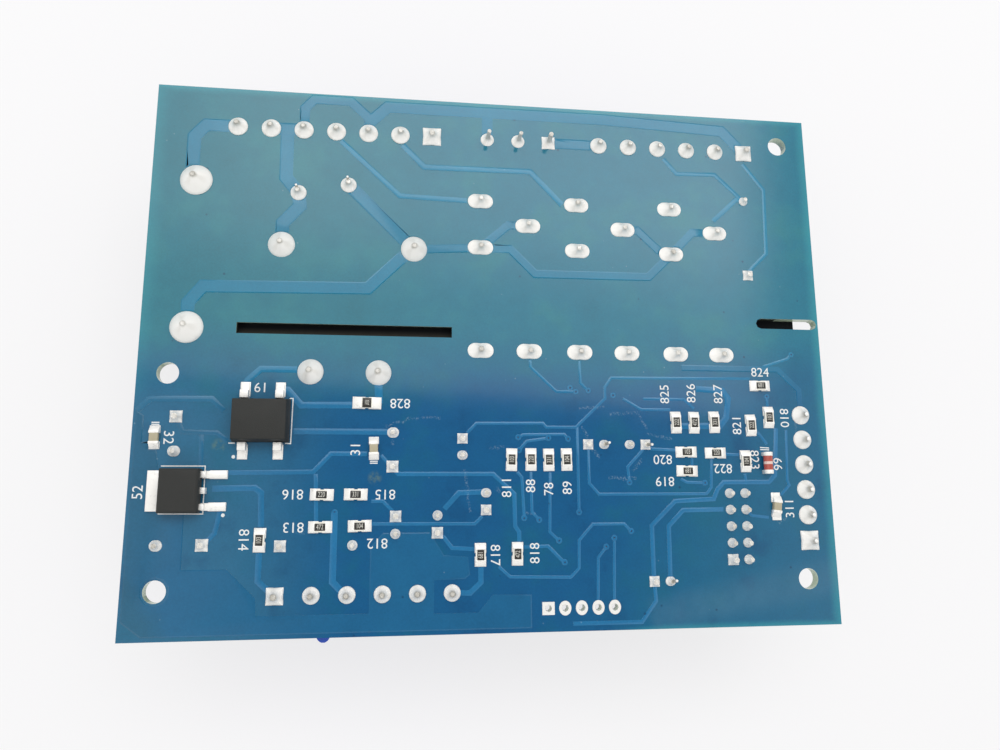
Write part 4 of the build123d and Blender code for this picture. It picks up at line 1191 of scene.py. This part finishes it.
def figures(text, height, thickness, paint, squeeze):
    """Printed figures, as a thin mesh round the origin."""
    deselect()
    bpy.ops.object.text_add()
    words = bpy.context.active_object
    words.data.body = text
    words.data.size = height / FIGURE_SHARE
    words.data.align_x = "CENTER"
    words.data.align_y = "CENTER"
    words.data.extrude = thickness / 2
    words.data.resolution_u = 3
    words.scale = (squeeze, 1, 1)
    bpy.ops.object.convert(target="MESH")
    piece = settle(bpy.context.active_object)
    edit(piece, everything=True)
    bpy.ops.mesh.remove_doubles(threshold=0.001 * MM)
    close()
    piece.data.materials.clear()
    piece.data.materials.append(paint)
    return piece


def chip_places(node):
    """Middle, direction and length of each chip whose body is in the node."""
    found = []
    for low, high in islands(node):
        across, along = high.x - low.x, high.y - low.y
        middle = ((low.x + high.x) / 2, (low.y + high.y) / 2, FACE)
        found.append((middle, along > across, max(across, along)))
    return found


# Chip resistors, usual and long: shares of the usual length, width and glaze, half width of the glaze as a
# share of the width, length of a metal end in millimetres, and how much the figures are squeezed.
USUAL_CHIP = (1.0, 1.0, 1.0, 0.30, 0.78, 0.66)
LONG_CHIP = (1.25, 1.06, 0.85, 0.40, 1.15, 0.45)
CHIP_FIGURES = ("103", "472", "220", "331", "104", "222", "681")


class BOARD_OT_chips(bpy.types.Operator):
    """Chip resistors and ceramic chip capacitors with their solder"""

    bl_idname = "board.chips"
    bl_label = "Chips"

    def resistor(self, chips, paints, figure, kind=USUAL_CHIP):
        """One chip resistor along x, with its figures."""
        solder, ceramic, glaze, ink = paints
        longer, wider, glazed, shade, end, squeeze = kind
        reach = chips.length / 2 * longer
        width = chips.width * wider
        window = chips.window * glazed / 2
        shade *= width
        inner = reach - end * MM
        height = chips.height
        pieces = []
        for side in (-1, 1):
            cap, cap_end = side * (inner - 0.22 * MM), side * inner * 1.02
            pieces += [
                block(
                    (side * chips.gap / 2, -width / 2, 0), (side * reach, width / 2, chips.land),
                    0.05 * MM, solder,
                ),
                wedge(side * inner, side * (reach - 0.03 * MM), width * 0.94, height, LAND_RISE, solder),
                block(
                    (cap, -width * 0.44, 0.1 * MM), (cap_end, width * 0.44, height + 0.02 * MM),
                    0.04 * MM, solder,
                ),
            ]
        pieces += [
            block((-inner, -width * 0.43, 0.06 * MM), (inner, width * 0.43, height), 0.05 * MM, ceramic),
            block(
                (-window, -shade, height - 0.02 * MM), (window, shade, height + 0.03 * MM),
                0.02 * MM, glaze,
            ),
        ]
        words = figures(figure, chips.figure, 0.01 * MM, ink, squeeze)
        words.location.z = height + 0.035 * MM
        return join("chip", pieces + [settle(words)])

    def capacitor(self, chips, solder, tan, reach, askew):
        """One chip capacitor along x on lands of the given reach, its body turned by an angle."""
        width = chips.width * 0.94
        outer = min(reach, chips.length / 2) - 0.04 * MM
        lands, pieces = [], []
        for side in (-1, 1):
            near, far = side * 0.58 * MM, side * 1.0 * MM
            lands.append(block(
                (side * 0.62 * MM, -width * 0.46, 0), (side * reach, width * 0.46, LAND_RISE),
                0.06 * MM, solder,
            ))
            pieces += [
                block((near, -width * 0.44, 0.05 * MM), (far, width * 0.44, 0.84 * MM), 0.09 * MM, solder, 3),
                wedge(side * 0.96 * MM, side * outer, width * 0.86, 0.76 * MM, 0.18 * MM, solder),
            ]
        pieces.append(block(
            (-0.7 * MM, -width * 0.38, 0.06 * MM), (0.7 * MM, width * 0.38, chips.thick), 0.07 * MM, tan
        ))
        body = join("capacitor", pieces)
        body.rotation_euler = (0, 0, askew)
        return join("capacitor", [settle(body), *lands])

    def execute(self, context):
        chips = context.scene.board_chips
        solder = tin(context, "chip_solder")
        ceramic = moulded("white_ceramic", (0.80, 0.77, 0.68), (0.86, 0.84, 0.77), 0.45, 6.0)
        glaze = moulded("dark_glaze", (0.018, 0.017, 0.015), (0.045, 0.042, 0.036), 0.28, 5.0)
        ink = moulded("pale_figures", (0.58, 0.57, 0.51), (0.70, 0.69, 0.63), 0.6, 8.0)
        paints = (solder, ceramic, glaze, ink)
        models = [self.resistor(chips, paints, value) for value in CHIP_FIGURES]
        large = self.resistor(chips, paints, "102", LONG_CHIP)
        places = chip_places("resistor_bodies")
        usual = min(span for _, _, span in places)
        chance = random.Random(3)
        twins = []
        for number, (place, upright, span) in enumerate(places):
            model = large if span > usual * 1.2 else models[number % len(models)]
            turn = (math.pi / 2 if upright else 0) + math.radians(chance.uniform(-1.6, 1.6))
            astray = (chance.uniform(-0.05, 0.05) * MM, chance.uniform(-0.05, 0.05) * MM, 0)
            twins.append(copy_to(model, Vector(place) + Vector(astray), turn))
        remove(large, *models)
        resistors = set_down("chip_resistors", twins)
        finish(resistors, None, "resistor_bodies", "resistor_ends")

        tan = moulded("tan_ceramic", (0.38, 0.34, 0.23), (0.50, 0.45, 0.32), 0.4, 4.0)
        usual = self.capacitor(chips, solder, tan, chips.length / 2, 0.0)
        askew = self.capacitor(chips, solder, tan, chips.long_land, math.radians(-7))
        twins = []
        for place, upright, _ in chip_places("chip_capacitor_bodies"):
            turn = math.pi / 2 if upright else 0
            if place[0] < 0:
                turn += math.radians(chance.uniform(-1.5, 1.5))
            twins.append(copy_to(usual if place[0] < 0 else askew, place, turn))
        remove(usual, askew)
        capacitors = set_down("chip_capacitors", twins)
        finish(capacitors, None, "chip_capacitor_bodies", "chip_capacitor_ends")
        return {"FINISHED"}


class BOARD_OT_mounted_parts(bpy.types.Operator):
    """Bridge rectifier, regulator and glass diode on the soldered side"""

    bl_idname = "board.mounted_parts"
    bl_label = "Mounted parts"

    def execute(self, context):
        resin = moulded(
            "black_resin", (0.020, 0.021, 0.020), (0.038, 0.039, 0.037), 0.6, 6.0, 0.03, specular=0.30
        )
        solder = tin(context, "terminal_solder")
        for node, name, radius, paint in (
            ("bridge_rectifier_body", "bridge_body", 0.12, resin),
            ("regulator_body", "regulator_block", 0.12, resin),
            ("bridge_rectifier_leads", "bridge_terminals", 0.08, solder),
            ("regulator_tab_and_leads", "regulator_terminals", 0.08, solder),
        ):
            rounded_copy(node, name, radius * MM, paint)
        lands = []
        margin = 0.05 * MM
        for low, high in islands("bridge_rectifier_leads"):
            side = -1 if low.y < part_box("bridge_rectifier_body")[0].y else 1
            outer = low.y if side < 0 else high.y
            middle = (low.x + high.x) / 2
            lands.append(block(
                (middle - 0.73 * MM, outer + side * margin, FACE),
                (middle + 0.73 * MM, outer - side * (2.1 * MM + margin), FACE + LAND_RISE), 0.07 * MM,
            ))
        for low, high in islands("regulator_tab_and_leads"):
            if high.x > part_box("regulator_body")[1].x + 2 * MM:
                lands.append(block(
                    (high.x - 2.5 * MM, low.y - 0.08 * MM, FACE),
                    (high.x + margin, high.y + 0.08 * MM, FACE + LAND_RISE), 0.07 * MM,
                ))
        finish(join("terminal_lands", lands), solder, slot="bridge_rectifier_leads")

        glass = Paint("red_glass", coat=0.6)
        low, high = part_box("glass_diode_body")
        along = (glass.y - (low.y + high.y) / 2 / MM).size()
        fog = glass.noise(3.0, 3)
        red = glass.mix(fog, (0.34, 0.045, 0.030), (0.50, 0.085, 0.055))
        band = glass.ramp(along, 0.16, 0.26, 1.0, 0.0)
        glass.fix("Base Color", glass.mix(band, red, (0.78, 0.58, 0.52)))
        glass.fix("Roughness", fog * 0.1 + 0.12)
        repaint("glass_diode_body", glass.material)
        rounded_copy("glass_diode_caps", "diode_caps", 0.12 * MM, solder)
        return {"FINISHED"}


# Printed figures: text, middle and turn in degrees.
LABELS = [
    ("61", -35.75, -6.07, 0), ("32", -48.5, -13.5, -90), ("52", -52.1, -21.4, 90),
    ("816", -30.5, -21.7, 180), ("815", -17.1, -21.75, 180), ("813", -30.25, -26.45, 180),
    ("812", -18.1, -28.85, 180), ("828", -15.1, -8.1, 180), ("820", 25.9, -16.5, 180),
    ("819", 26.1, -19.9, 180), ("822", 35.7, -17.9, 180), ("814", -37.2, -28.2, -90),
    ("817", -0.7, -30.8, -90), ("810", 46.5, -9.85, -90), ("823", 40.95, -16.6, -90),
    ("66", 44.8, -17.25, -90), ("31", -21.55, -15.1, 90), ("811", 1.2, -20.8, 90),
    ("88", 4.9, -20.6, 90), ("78", 7.7, -21.1, 90), ("89", 10.6, -20.9, 90), ("818", 5.4, -30.6, 90),
    ("825", 26.7, -6.2, 90), ("826", 31.1, -6.0, 90), ("827", 35.6, -6.1, 90),
    ("821", 38.5, -11.05, 90), ("311", 46.45, -24.2, 90), ("824", 42.9, -2.5, 0),
]

# Printed lines: the bends from end to end.
PRINTED_LINES = [
    [(-31.45, -7.6), (-31.0, -7.6), (-31.1, -14.35), (-31.9, -14.3)],
    [(-31.45, -7.6), (-31.45, -14.1)],
    [(-40.0, -14.3), (-39.1, -14.3)],
    [(-49.2, -17.65), (-43.05, -17.65), (-43.0, -24.5), (-49.2, -24.45)],
    [(-50.95, -11.33), (-49.85, -11.33)], [(-50.95, -11.62), (-49.85, -11.62)],
    [(-19.45, -16.92), (-18.3, -16.92)], [(-19.45, -17.2), (-18.3, -17.2)],
    [(42.1, -14.62), (43.6, -14.7)], [(42.1, -14.95), (43.6, -15.0)],
]
PRINTED_DOTS = [(-39.2, -16.3), (-40.2, -24.7)]

PRINT_LAYER = 0.03 * MM
PRINT_SINK = 0.012 * MM  # how far the print sinks into what it stands on
PRINT_SEARCH = 0.12 * MM  # over the highest copper, from where the ground of the print is looked for


def stand_on_lacquer(context, piece):
    """Lifts flat print, modelled round height 0, so that no part of it is under the lacquer or a track."""
    graph = context.evaluated_depsgraph_get()
    highest = FACE
    for vertex in piece.data.vertices:
        above = Vector((vertex.co.x, vertex.co.y, FACE + PRINT_SEARCH))
        struck, place, *_ = context.scene.ray_cast(graph, above, (0, 0, -1), distance=2 * PRINT_SEARCH)
        if struck:
            highest = max(highest, place.z)
    edit(piece, everything=True)
    shift(0, 0, highest + PRINT_LAYER / 2 - PRINT_SINK)
    close()
    return piece


class BOARD_OT_print(bpy.types.Operator):
    """White figures, outlines and dots on the lacquer"""

    bl_idname = "board.print"
    bl_label = "Print"

    def execute(self, context):
        looks = context.scene.board_print
        paint = Paint("white_print", roughness=0.55)
        fine = paint.noise(4.0, 4, 0.7)
        thin = tuple(0.72 * part + 0.04 for part in looks.ink)
        paint.fix("Base Color", paint.mix(paint.ramp(fine, 0.5, 0.72), looks.ink, thin))
        paint.bump(fine, 0.004)
        context.view_layer.update()
        words = []
        for text, x, y, turn in LABELS:
            piece = figures(text, looks.figure, PRINT_LAYER, paint.material, 1.0)
            piece.location = (x * MM, y * MM, 0)
            piece.rotation_euler = (0, 0, math.radians(turn))
            words.append(stand_on_lacquer(context, settle(piece)))
        for bends in PRINTED_LINES:
            line = draw_lines("print_line", [bends], looks.line, -PRINT_LAYER / 2, PRINT_LAYER)
            words.append(stand_on_lacquer(context, line))
        for x, y in PRINTED_DOTS:
            dot = disc("dot", looks.dot, 16, (x * MM, y * MM, -PRINT_LAYER / 2))
            grow(0.94, 0.94, PRINT_LAYER, (x * MM, y * MM, 0))
            close()
            words.append(stand_on_lacquer(context, dot))
        finish(join("board_print", words), paint.material, slot="circuit_board", angle=30)
        return {"FINISHED"}


CORNER = 1.28 * MM  # from the middle of the square ring to its corners
LONG_RING = (1.68, 1.92)  # how much wider and longer the other rings are than their holes


class BOARD_OT_spare_row(bpy.types.Operator):
    """Tinned rings and barrels of the empty row of holes"""

    bl_idname = "board.spare_row"
    bl_label = "Empty row"

    def square_up(self, place, row, factor):
        """Widens the selected round rim and presses it flat on four sides."""
        grow(factor, factor, 0, place)
        for axis in (0, 1):
            for side in (-1, 1):
                pick("VERT", lambda vertex: (vertex.co[axis] - place[axis]) * side > 0.8 * MM)
                flat = [1.0, 1.0, 1.0]
                flat[axis] = 0.0
                line = place.copy()
                line[axis] += side * row.square
                bpy.ops.transform.resize(value=flat, center_override=line)
        pick("VERT", lambda vertex: max(abs(part) for part in (vertex.co - place).xy) > row.square - 0.01 * MM)

    def execute(self, context):
        row = context.scene.board_spare_row
        bright = moulded("tinned_copper", (0.90, 0.89, 0.86), (0.80, 0.79, 0.76), 0.45, 3.0)
        rim = 0.05 * MM  # how far the rings stand out of the lacquer
        pieces = []
        for number in range(5):
            place = Vector((row.x + (number - 2) * row.pitch, row.y, FACE))
            ring = disc("ring", row.hole, 24, place - Vector((0, 0, row.depth)), "NOTHING")
            grow(1, 1, row.depth + rim, place)
            grow(1.1, 1.1, rim, place)
            if number == 0:
                self.square_up(place, row, CORNER / (1.1 * row.hole))
            else:
                grow(*LONG_RING, 0, place)
            grow(1.04, 1.04, -2 * rim, place)
            close()
            pieces.append(ring)
        finish(join("empty_row", pieces), bright, slot="solder_joints")
        return {"FINISHED"}


# In millimetres: two plates of the core, and two turns of the winding, from middle to middle.
PLATE_PITCH = 0.5
WIRE_PITCH = 0.32


class BOARD_OT_hanging_parts(bpy.types.Operator):
    """Finishes of the parts that hang under the board"""

    bl_idname = "board.hanging_parts"
    bl_label = "Hanging parts"

    def execute(self, context):
        steel = Paint("core_plates", metallic=0.6)
        plates = (steel.y * (2 * math.pi / PLATE_PITCH)).wave()
        rust = steel.noise(0.5, 4, 0.65)
        rusty = steel.ramp(rust, 0.5, 0.75)
        steel.fix("Base Color", steel.mix(rusty, (0.11, 0.105, 0.10), (0.20, 0.13, 0.08)))
        steel.fix("Roughness", rust * 0.2 + 0.35)
        steel.bump(plates * 0.4 + rust * 0.3, 0.05)
        repaint("transformer_core", steel.material)

        wound = Paint("wound_wire", coat=0.3)
        turns = (wound.z * (2 * math.pi / WIRE_PITCH)).wave()
        patch = wound.noise(0.4, 3)
        # Each turn is painted darker where it meets the next: painted shade in the grooves of the winding.
        wound.fix("Base Color", wound.mix(turns * 0.4 + 0.5, (0.30, 0.10, 0.035), (0.50, 0.20, 0.07)))
        wound.fix("Roughness", patch * 0.2 + 0.25)
        wound.bump(turns * 0.5 + 0.5, 0.06)
        repaint("transformer_windings", wound.material)

        black = moulded("black_plastic", (0.018, 0.018, 0.019), (0.032, 0.032, 0.034), 0.45, 3.0, 0.015)
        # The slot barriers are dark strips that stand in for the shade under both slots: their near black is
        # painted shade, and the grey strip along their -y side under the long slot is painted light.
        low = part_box("slot_barriers")[0]
        deep = Paint("slot_shade_black", roughness=0.8, specular=0.12)
        lit = deep.ramp(deep.y, low.y / MM + 0.6, low.y / MM + 1.8, 1.0, 0.0)
        lit = lit * deep.ramp(deep.x, 0.0, 10.0, 1.0, 0.0)
        lit_grey = deep.mix(deep.noise(1.5, 3), (0.030, 0.029, 0.024), (0.055, 0.052, 0.042))
        deep.fix("Base Color", deep.mix(lit, (0.005, 0.006, 0.008), lit_grey))
        blue = moulded("blue_plastic", (0.010, 0.055, 0.42), (0.016, 0.085, 0.52), 0.38, 3.0, 0.012)
        white = moulded("white_nylon", (0.74, 0.73, 0.69), (0.82, 0.81, 0.78), 0.42, 2.5, 0.012)
        grey = moulded("grey_plastic", (0.10, 0.105, 0.11), (0.15, 0.155, 0.16), 0.5, 3.0, 0.015)
        relay = moulded("relay_cover", (0.016, 0.05, 0.22), (0.022, 0.07, 0.28), 0.32, 2.5, 0.01)
        plated = metal("plated_posts", (0.72, 0.70, 0.66), (0.55, 0.53, 0.50))
        brass = metal("brass_clips", (0.62, 0.50, 0.28), (0.50, 0.42, 0.26))
        link = moulded("link_cap", (0.50, 0.05, 0.03), (0.60, 0.09, 0.05), 0.4, 3.0, 0.012)
        repaint("slot_barriers", deep.material)
        repaint("fuse_clips", brass)
        for node in (
            "transformer_pins", "relay_pins", "varistor_leads", "electrolytic_leads", "axial_diode_wires",
            "disc_capacitor_leads", "indicator_lamp_leads", "controller_leads", "driver_leads", "link_posts",
            "supply_posts", "pump_posts", "load_posts", "sensor_posts", "panel_posts", "ribbon_posts",
        ):
            repaint(node, plated)
        for nodes, radius, paint in (
            (("relay_1_case", "relay_2_case", "relay_3_case"), 0.6, relay),
            (("relay_1_base", "relay_2_base", "relay_3_base", "transformer_bobbin", "fuse_base"), 0.2, black),
            (("supply_header", "pump_header", "load_header", "sensor_header"), 0.2, blue),
            (("panel_header",), 0.25, white), (("ribbon_header",), 0.2, grey), (("link_caps",), 0.25, link),
            (("link_bases", "controller_body", "driver_body"), 0.12, black),
        ):
            for node in nodes:
                rounded_copy(node, f"{node}_moulding", radius * MM, paint)
        return {"FINISHED"}


def turned(name, steps, paints, sides=40, other=None):
    """A round body about Z through steps of height and radius in millimetres.

    Faces whose middle passes the other test get the second paint.
    """
    low, first = steps[0]
    piece = disc(name, first * MM, sides, (0, 0, low * MM))
    for (height, radius), (above, wider) in zip(steps, steps[1:]):
        grow(wider / radius, wider / radius, (above - height) * MM)
    close()
    for paint in paints:
        piece.data.materials.append(paint)
    if other:
        for polygon in piece.data.polygons:
            polygon.material_index = 1 if other(polygon.center / MM) else 0
    return piece


def lens(radius, half):
    """Steps of a dipped disc with a soft rim."""
    rim = [(1.0, 0.45), (0.93, 0.72), (0.62, 0.92), (0.0, 0.985)]
    lower = [(-half * rise, radius * wide) for rise, wide in rim]
    return lower + [(half * rise, radius * wide) for rise, wide in reversed(rim[:-1])]


LYING = math.pi / 2  # lays an upright body down

# Outline of a can: height over its crown or its seat in millimetres, and share of its radius.
CAN_CROWN = [(0.2, 0.78), (0, 0.83), (0.12, 0.93), (0.6, 1)]
CAN_FOOT = [(-2.7, 1), (-2.3, 0.93), (-1.9, 0.93), (-1.5, 1), (-0.4, 1), (0, 0.94), (0, 0.8)]


class BOARD_OT_round_parts(bpy.types.Operator):
    """Cans, discs, fuse, lamps and diodes, turned about the axes of their CAD bodies"""

    bl_idname = "board.round_parts"
    bl_label = "Round parts"

    def set_out(self, node, model, lean=None):
        """A copy of the model in the middle of each body of the node, lying along its long or thin side."""
        twins = []
        for low, high in islands(node):
            size = high - low
            turn = lean or ((0, LYING) if abs(size.x - size.z) > abs(size.y - size.z) else (LYING, 0))
            twins.append(copy_to(model, (low + high) / 2, lean=turn))
        return set_down(f"{node}_bodies", twins, model)

    def execute(self, context):
        sleeve = moulded("sleeve", (0.012, 0.014, 0.03), (0.022, 0.026, 0.05), 0.4, 1.0, 0.006, 0.2)
        tin_can = metal("can_metal", (0.62, 0.62, 0.63), (0.48, 0.48, 0.50))
        cans = []
        for number in range(1, 4):
            low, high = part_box(f"electrolytic_{number}")
            wide = 0.985 * (high.y - low.y) / 2 / MM
            crown, seat, top = low.z / MM, high.z / MM - 0.4, high.z / MM
            steps = [(crown + height, share * wide) for height, share in CAN_CROWN]
            steps += [(seat + height, share * wide) for height, share in CAN_FOOT]
            steps.append((top, 0.8 * wide))
            can = turned("can", steps, (sleeve, tin_can), other=lambda place: place.z < crown + 0.21)
            can.location = ((low.x + high.x) / 2, (low.y + high.y) / 2, 0)
            cans.append(settle(can))
        finish(join("electrolytic_cans", cans), None, "electrolytic_1", "electrolytic_2", "electrolytic_3")

        yellow = moulded("disc_lacquer", (0.62, 0.33, 0.055), (0.70, 0.42, 0.10), 0.35, 1.5, 0.03)
        dipped = turned("dipped_disc", lens(2.6, 0.9), (yellow,))
        finish(self.set_out("disc_capacitors", dipped), None, "disc_capacitors", angle=50)

        dip = moulded("varistor_lacquer", (0.03, 0.12, 0.42), (0.04, 0.17, 0.50), 0.35, 1.5, 0.03)
        low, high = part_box("varistor_leads")
        span = (high - low) / MM - Vector((0.8, 0.8, 0))
        low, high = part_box("varistor_disc")
        varistor = turned("varistor", lens(7.0, 2.2), (dip,), 56)
        varistor.location = (low + high) / 2
        varistor.rotation_euler = (LYING, 0, math.atan2(span.y, span.x))
        finish(settle(varistor), None, "varistor_disc", angle=50)

        fuse_metal = metal("fuse_metal", (0.72, 0.70, 0.66), (0.55, 0.53, 0.50))
        cap = turned("cap", [(-2.75, 2.25), (-2.5, 2.54), (2.5, 2.54), (2.75, 2.25)], (fuse_metal,))
        finish(self.set_out("fuse_caps", cap, (LYING, 0)), None, "fuse_caps")
        glass = Paint("clear_glass", roughness=0.04)
        glass.fix("Base Color", glass.mix(glass.noise(0.5, 2), (0.88, 0.92, 0.92), (0.95, 0.97, 0.97)))
        glass.fix("Transmission Weight", 0.92)
        glass.fix("IOR", 1.45)
        low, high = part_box("fuse_glass")
        half = (high.y - low.y) / 2 / MM
        tube = turned("tube", [(-half, 2.36), (half, 2.36)], (glass.material,))
        finish(self.set_out("fuse_glass", tube, (LYING, 0)), None, "fuse_glass")

        resin = moulded("diode_resin", (0.018, 0.018, 0.019), (0.032, 0.032, 0.034), 0.4, 3.0, 0.01)
        band = moulded("diode_band", (0.55, 0.55, 0.54), (0.62, 0.62, 0.61), 0.5, 3.0, 0.01)
        steps = [(-2.6, 1.05), (-2.4, 1.3), (1.35, 1.3), (1.95, 1.3), (2.4, 1.3), (2.6, 1.05)]
        diode = turned("diode", steps, (resin, band), other=lambda place: 1.4 < place.z < 1.9)
        finish(self.set_out("axial_diodes", diode), None, "axial_diodes")

        steps = [(-2.1, 0.5), (-1.95, 0.95), (-1.5, 1.3), (-0.9, 1.45), (1.1, 1.45), (1.1, 1.75), (2.1, 1.75)]
        lamp = moulded("lamp_lens", (0.50, 0.035, 0.03), (0.60, 0.06, 0.05), 0.15, 1.0, 0.004, 0.5)
        dome = turned("lamp", steps, (lamp,))
        finish(self.set_out("indicator_lamps", dome, (0, 0)), None, "indicator_lamps")
        return {"FINISHED"}


# ---------------------------------------------------------------- panel and run


# In the order in which they have to run.
STEPS = [
    BOARD_OT_studio,
    BOARD_OT_lacquer,
    BOARD_OT_wide_copper,
    BOARD_OT_fine_copper,
    BOARD_OT_solder,
    BOARD_OT_chips,
    BOARD_OT_mounted_parts,
    BOARD_OT_print,
    BOARD_OT_spare_row,
    BOARD_OT_hanging_parts,
    BOARD_OT_round_parts,
]


class BOARD_PT_steps(bpy.types.Panel):
    """Lists the steps of the board's finish"""

    bl_idname = "BOARD_PT_steps"
    bl_label = "Boiler control board"
    bl_space_type = "VIEW_3D"
    bl_region_type = "UI"
    bl_category = "Board"

    def draw(self, context):
        for step in STEPS:
            self.layout.operator(step.bl_idname)


SETTINGS = {
    "board_studio": BoardStudio,
    "board_lacquer": BoardLacquer,
    "board_copper": BoardCopper,
    "board_solder": BoardSolder,
    "board_print": BoardPrint,
    "board_chips": BoardChips,
    "board_spare_row": BoardSpareRow,
}
CLASSES = [*SETTINGS.values(), *STEPS, BOARD_PT_steps]


def register():
    for entry in CLASSES:
        bpy.utils.register_class(entry)
    for name, group in SETTINGS.items():
        setattr(bpy.types.Scene, name, PointerProperty(type=group))


def unregister():
    for name in SETTINGS:
        delattr(bpy.types.Scene, name)
    for entry in reversed(CLASSES):
        bpy.utils.unregister_class(entry)


def main():
    """Runs every step in order."""
    register()
    for step in STEPS:
        group, name = step.bl_idname.split(".")
        getattr(getattr(bpy.ops, group), name)()


if __name__ == "__main__":
    main()
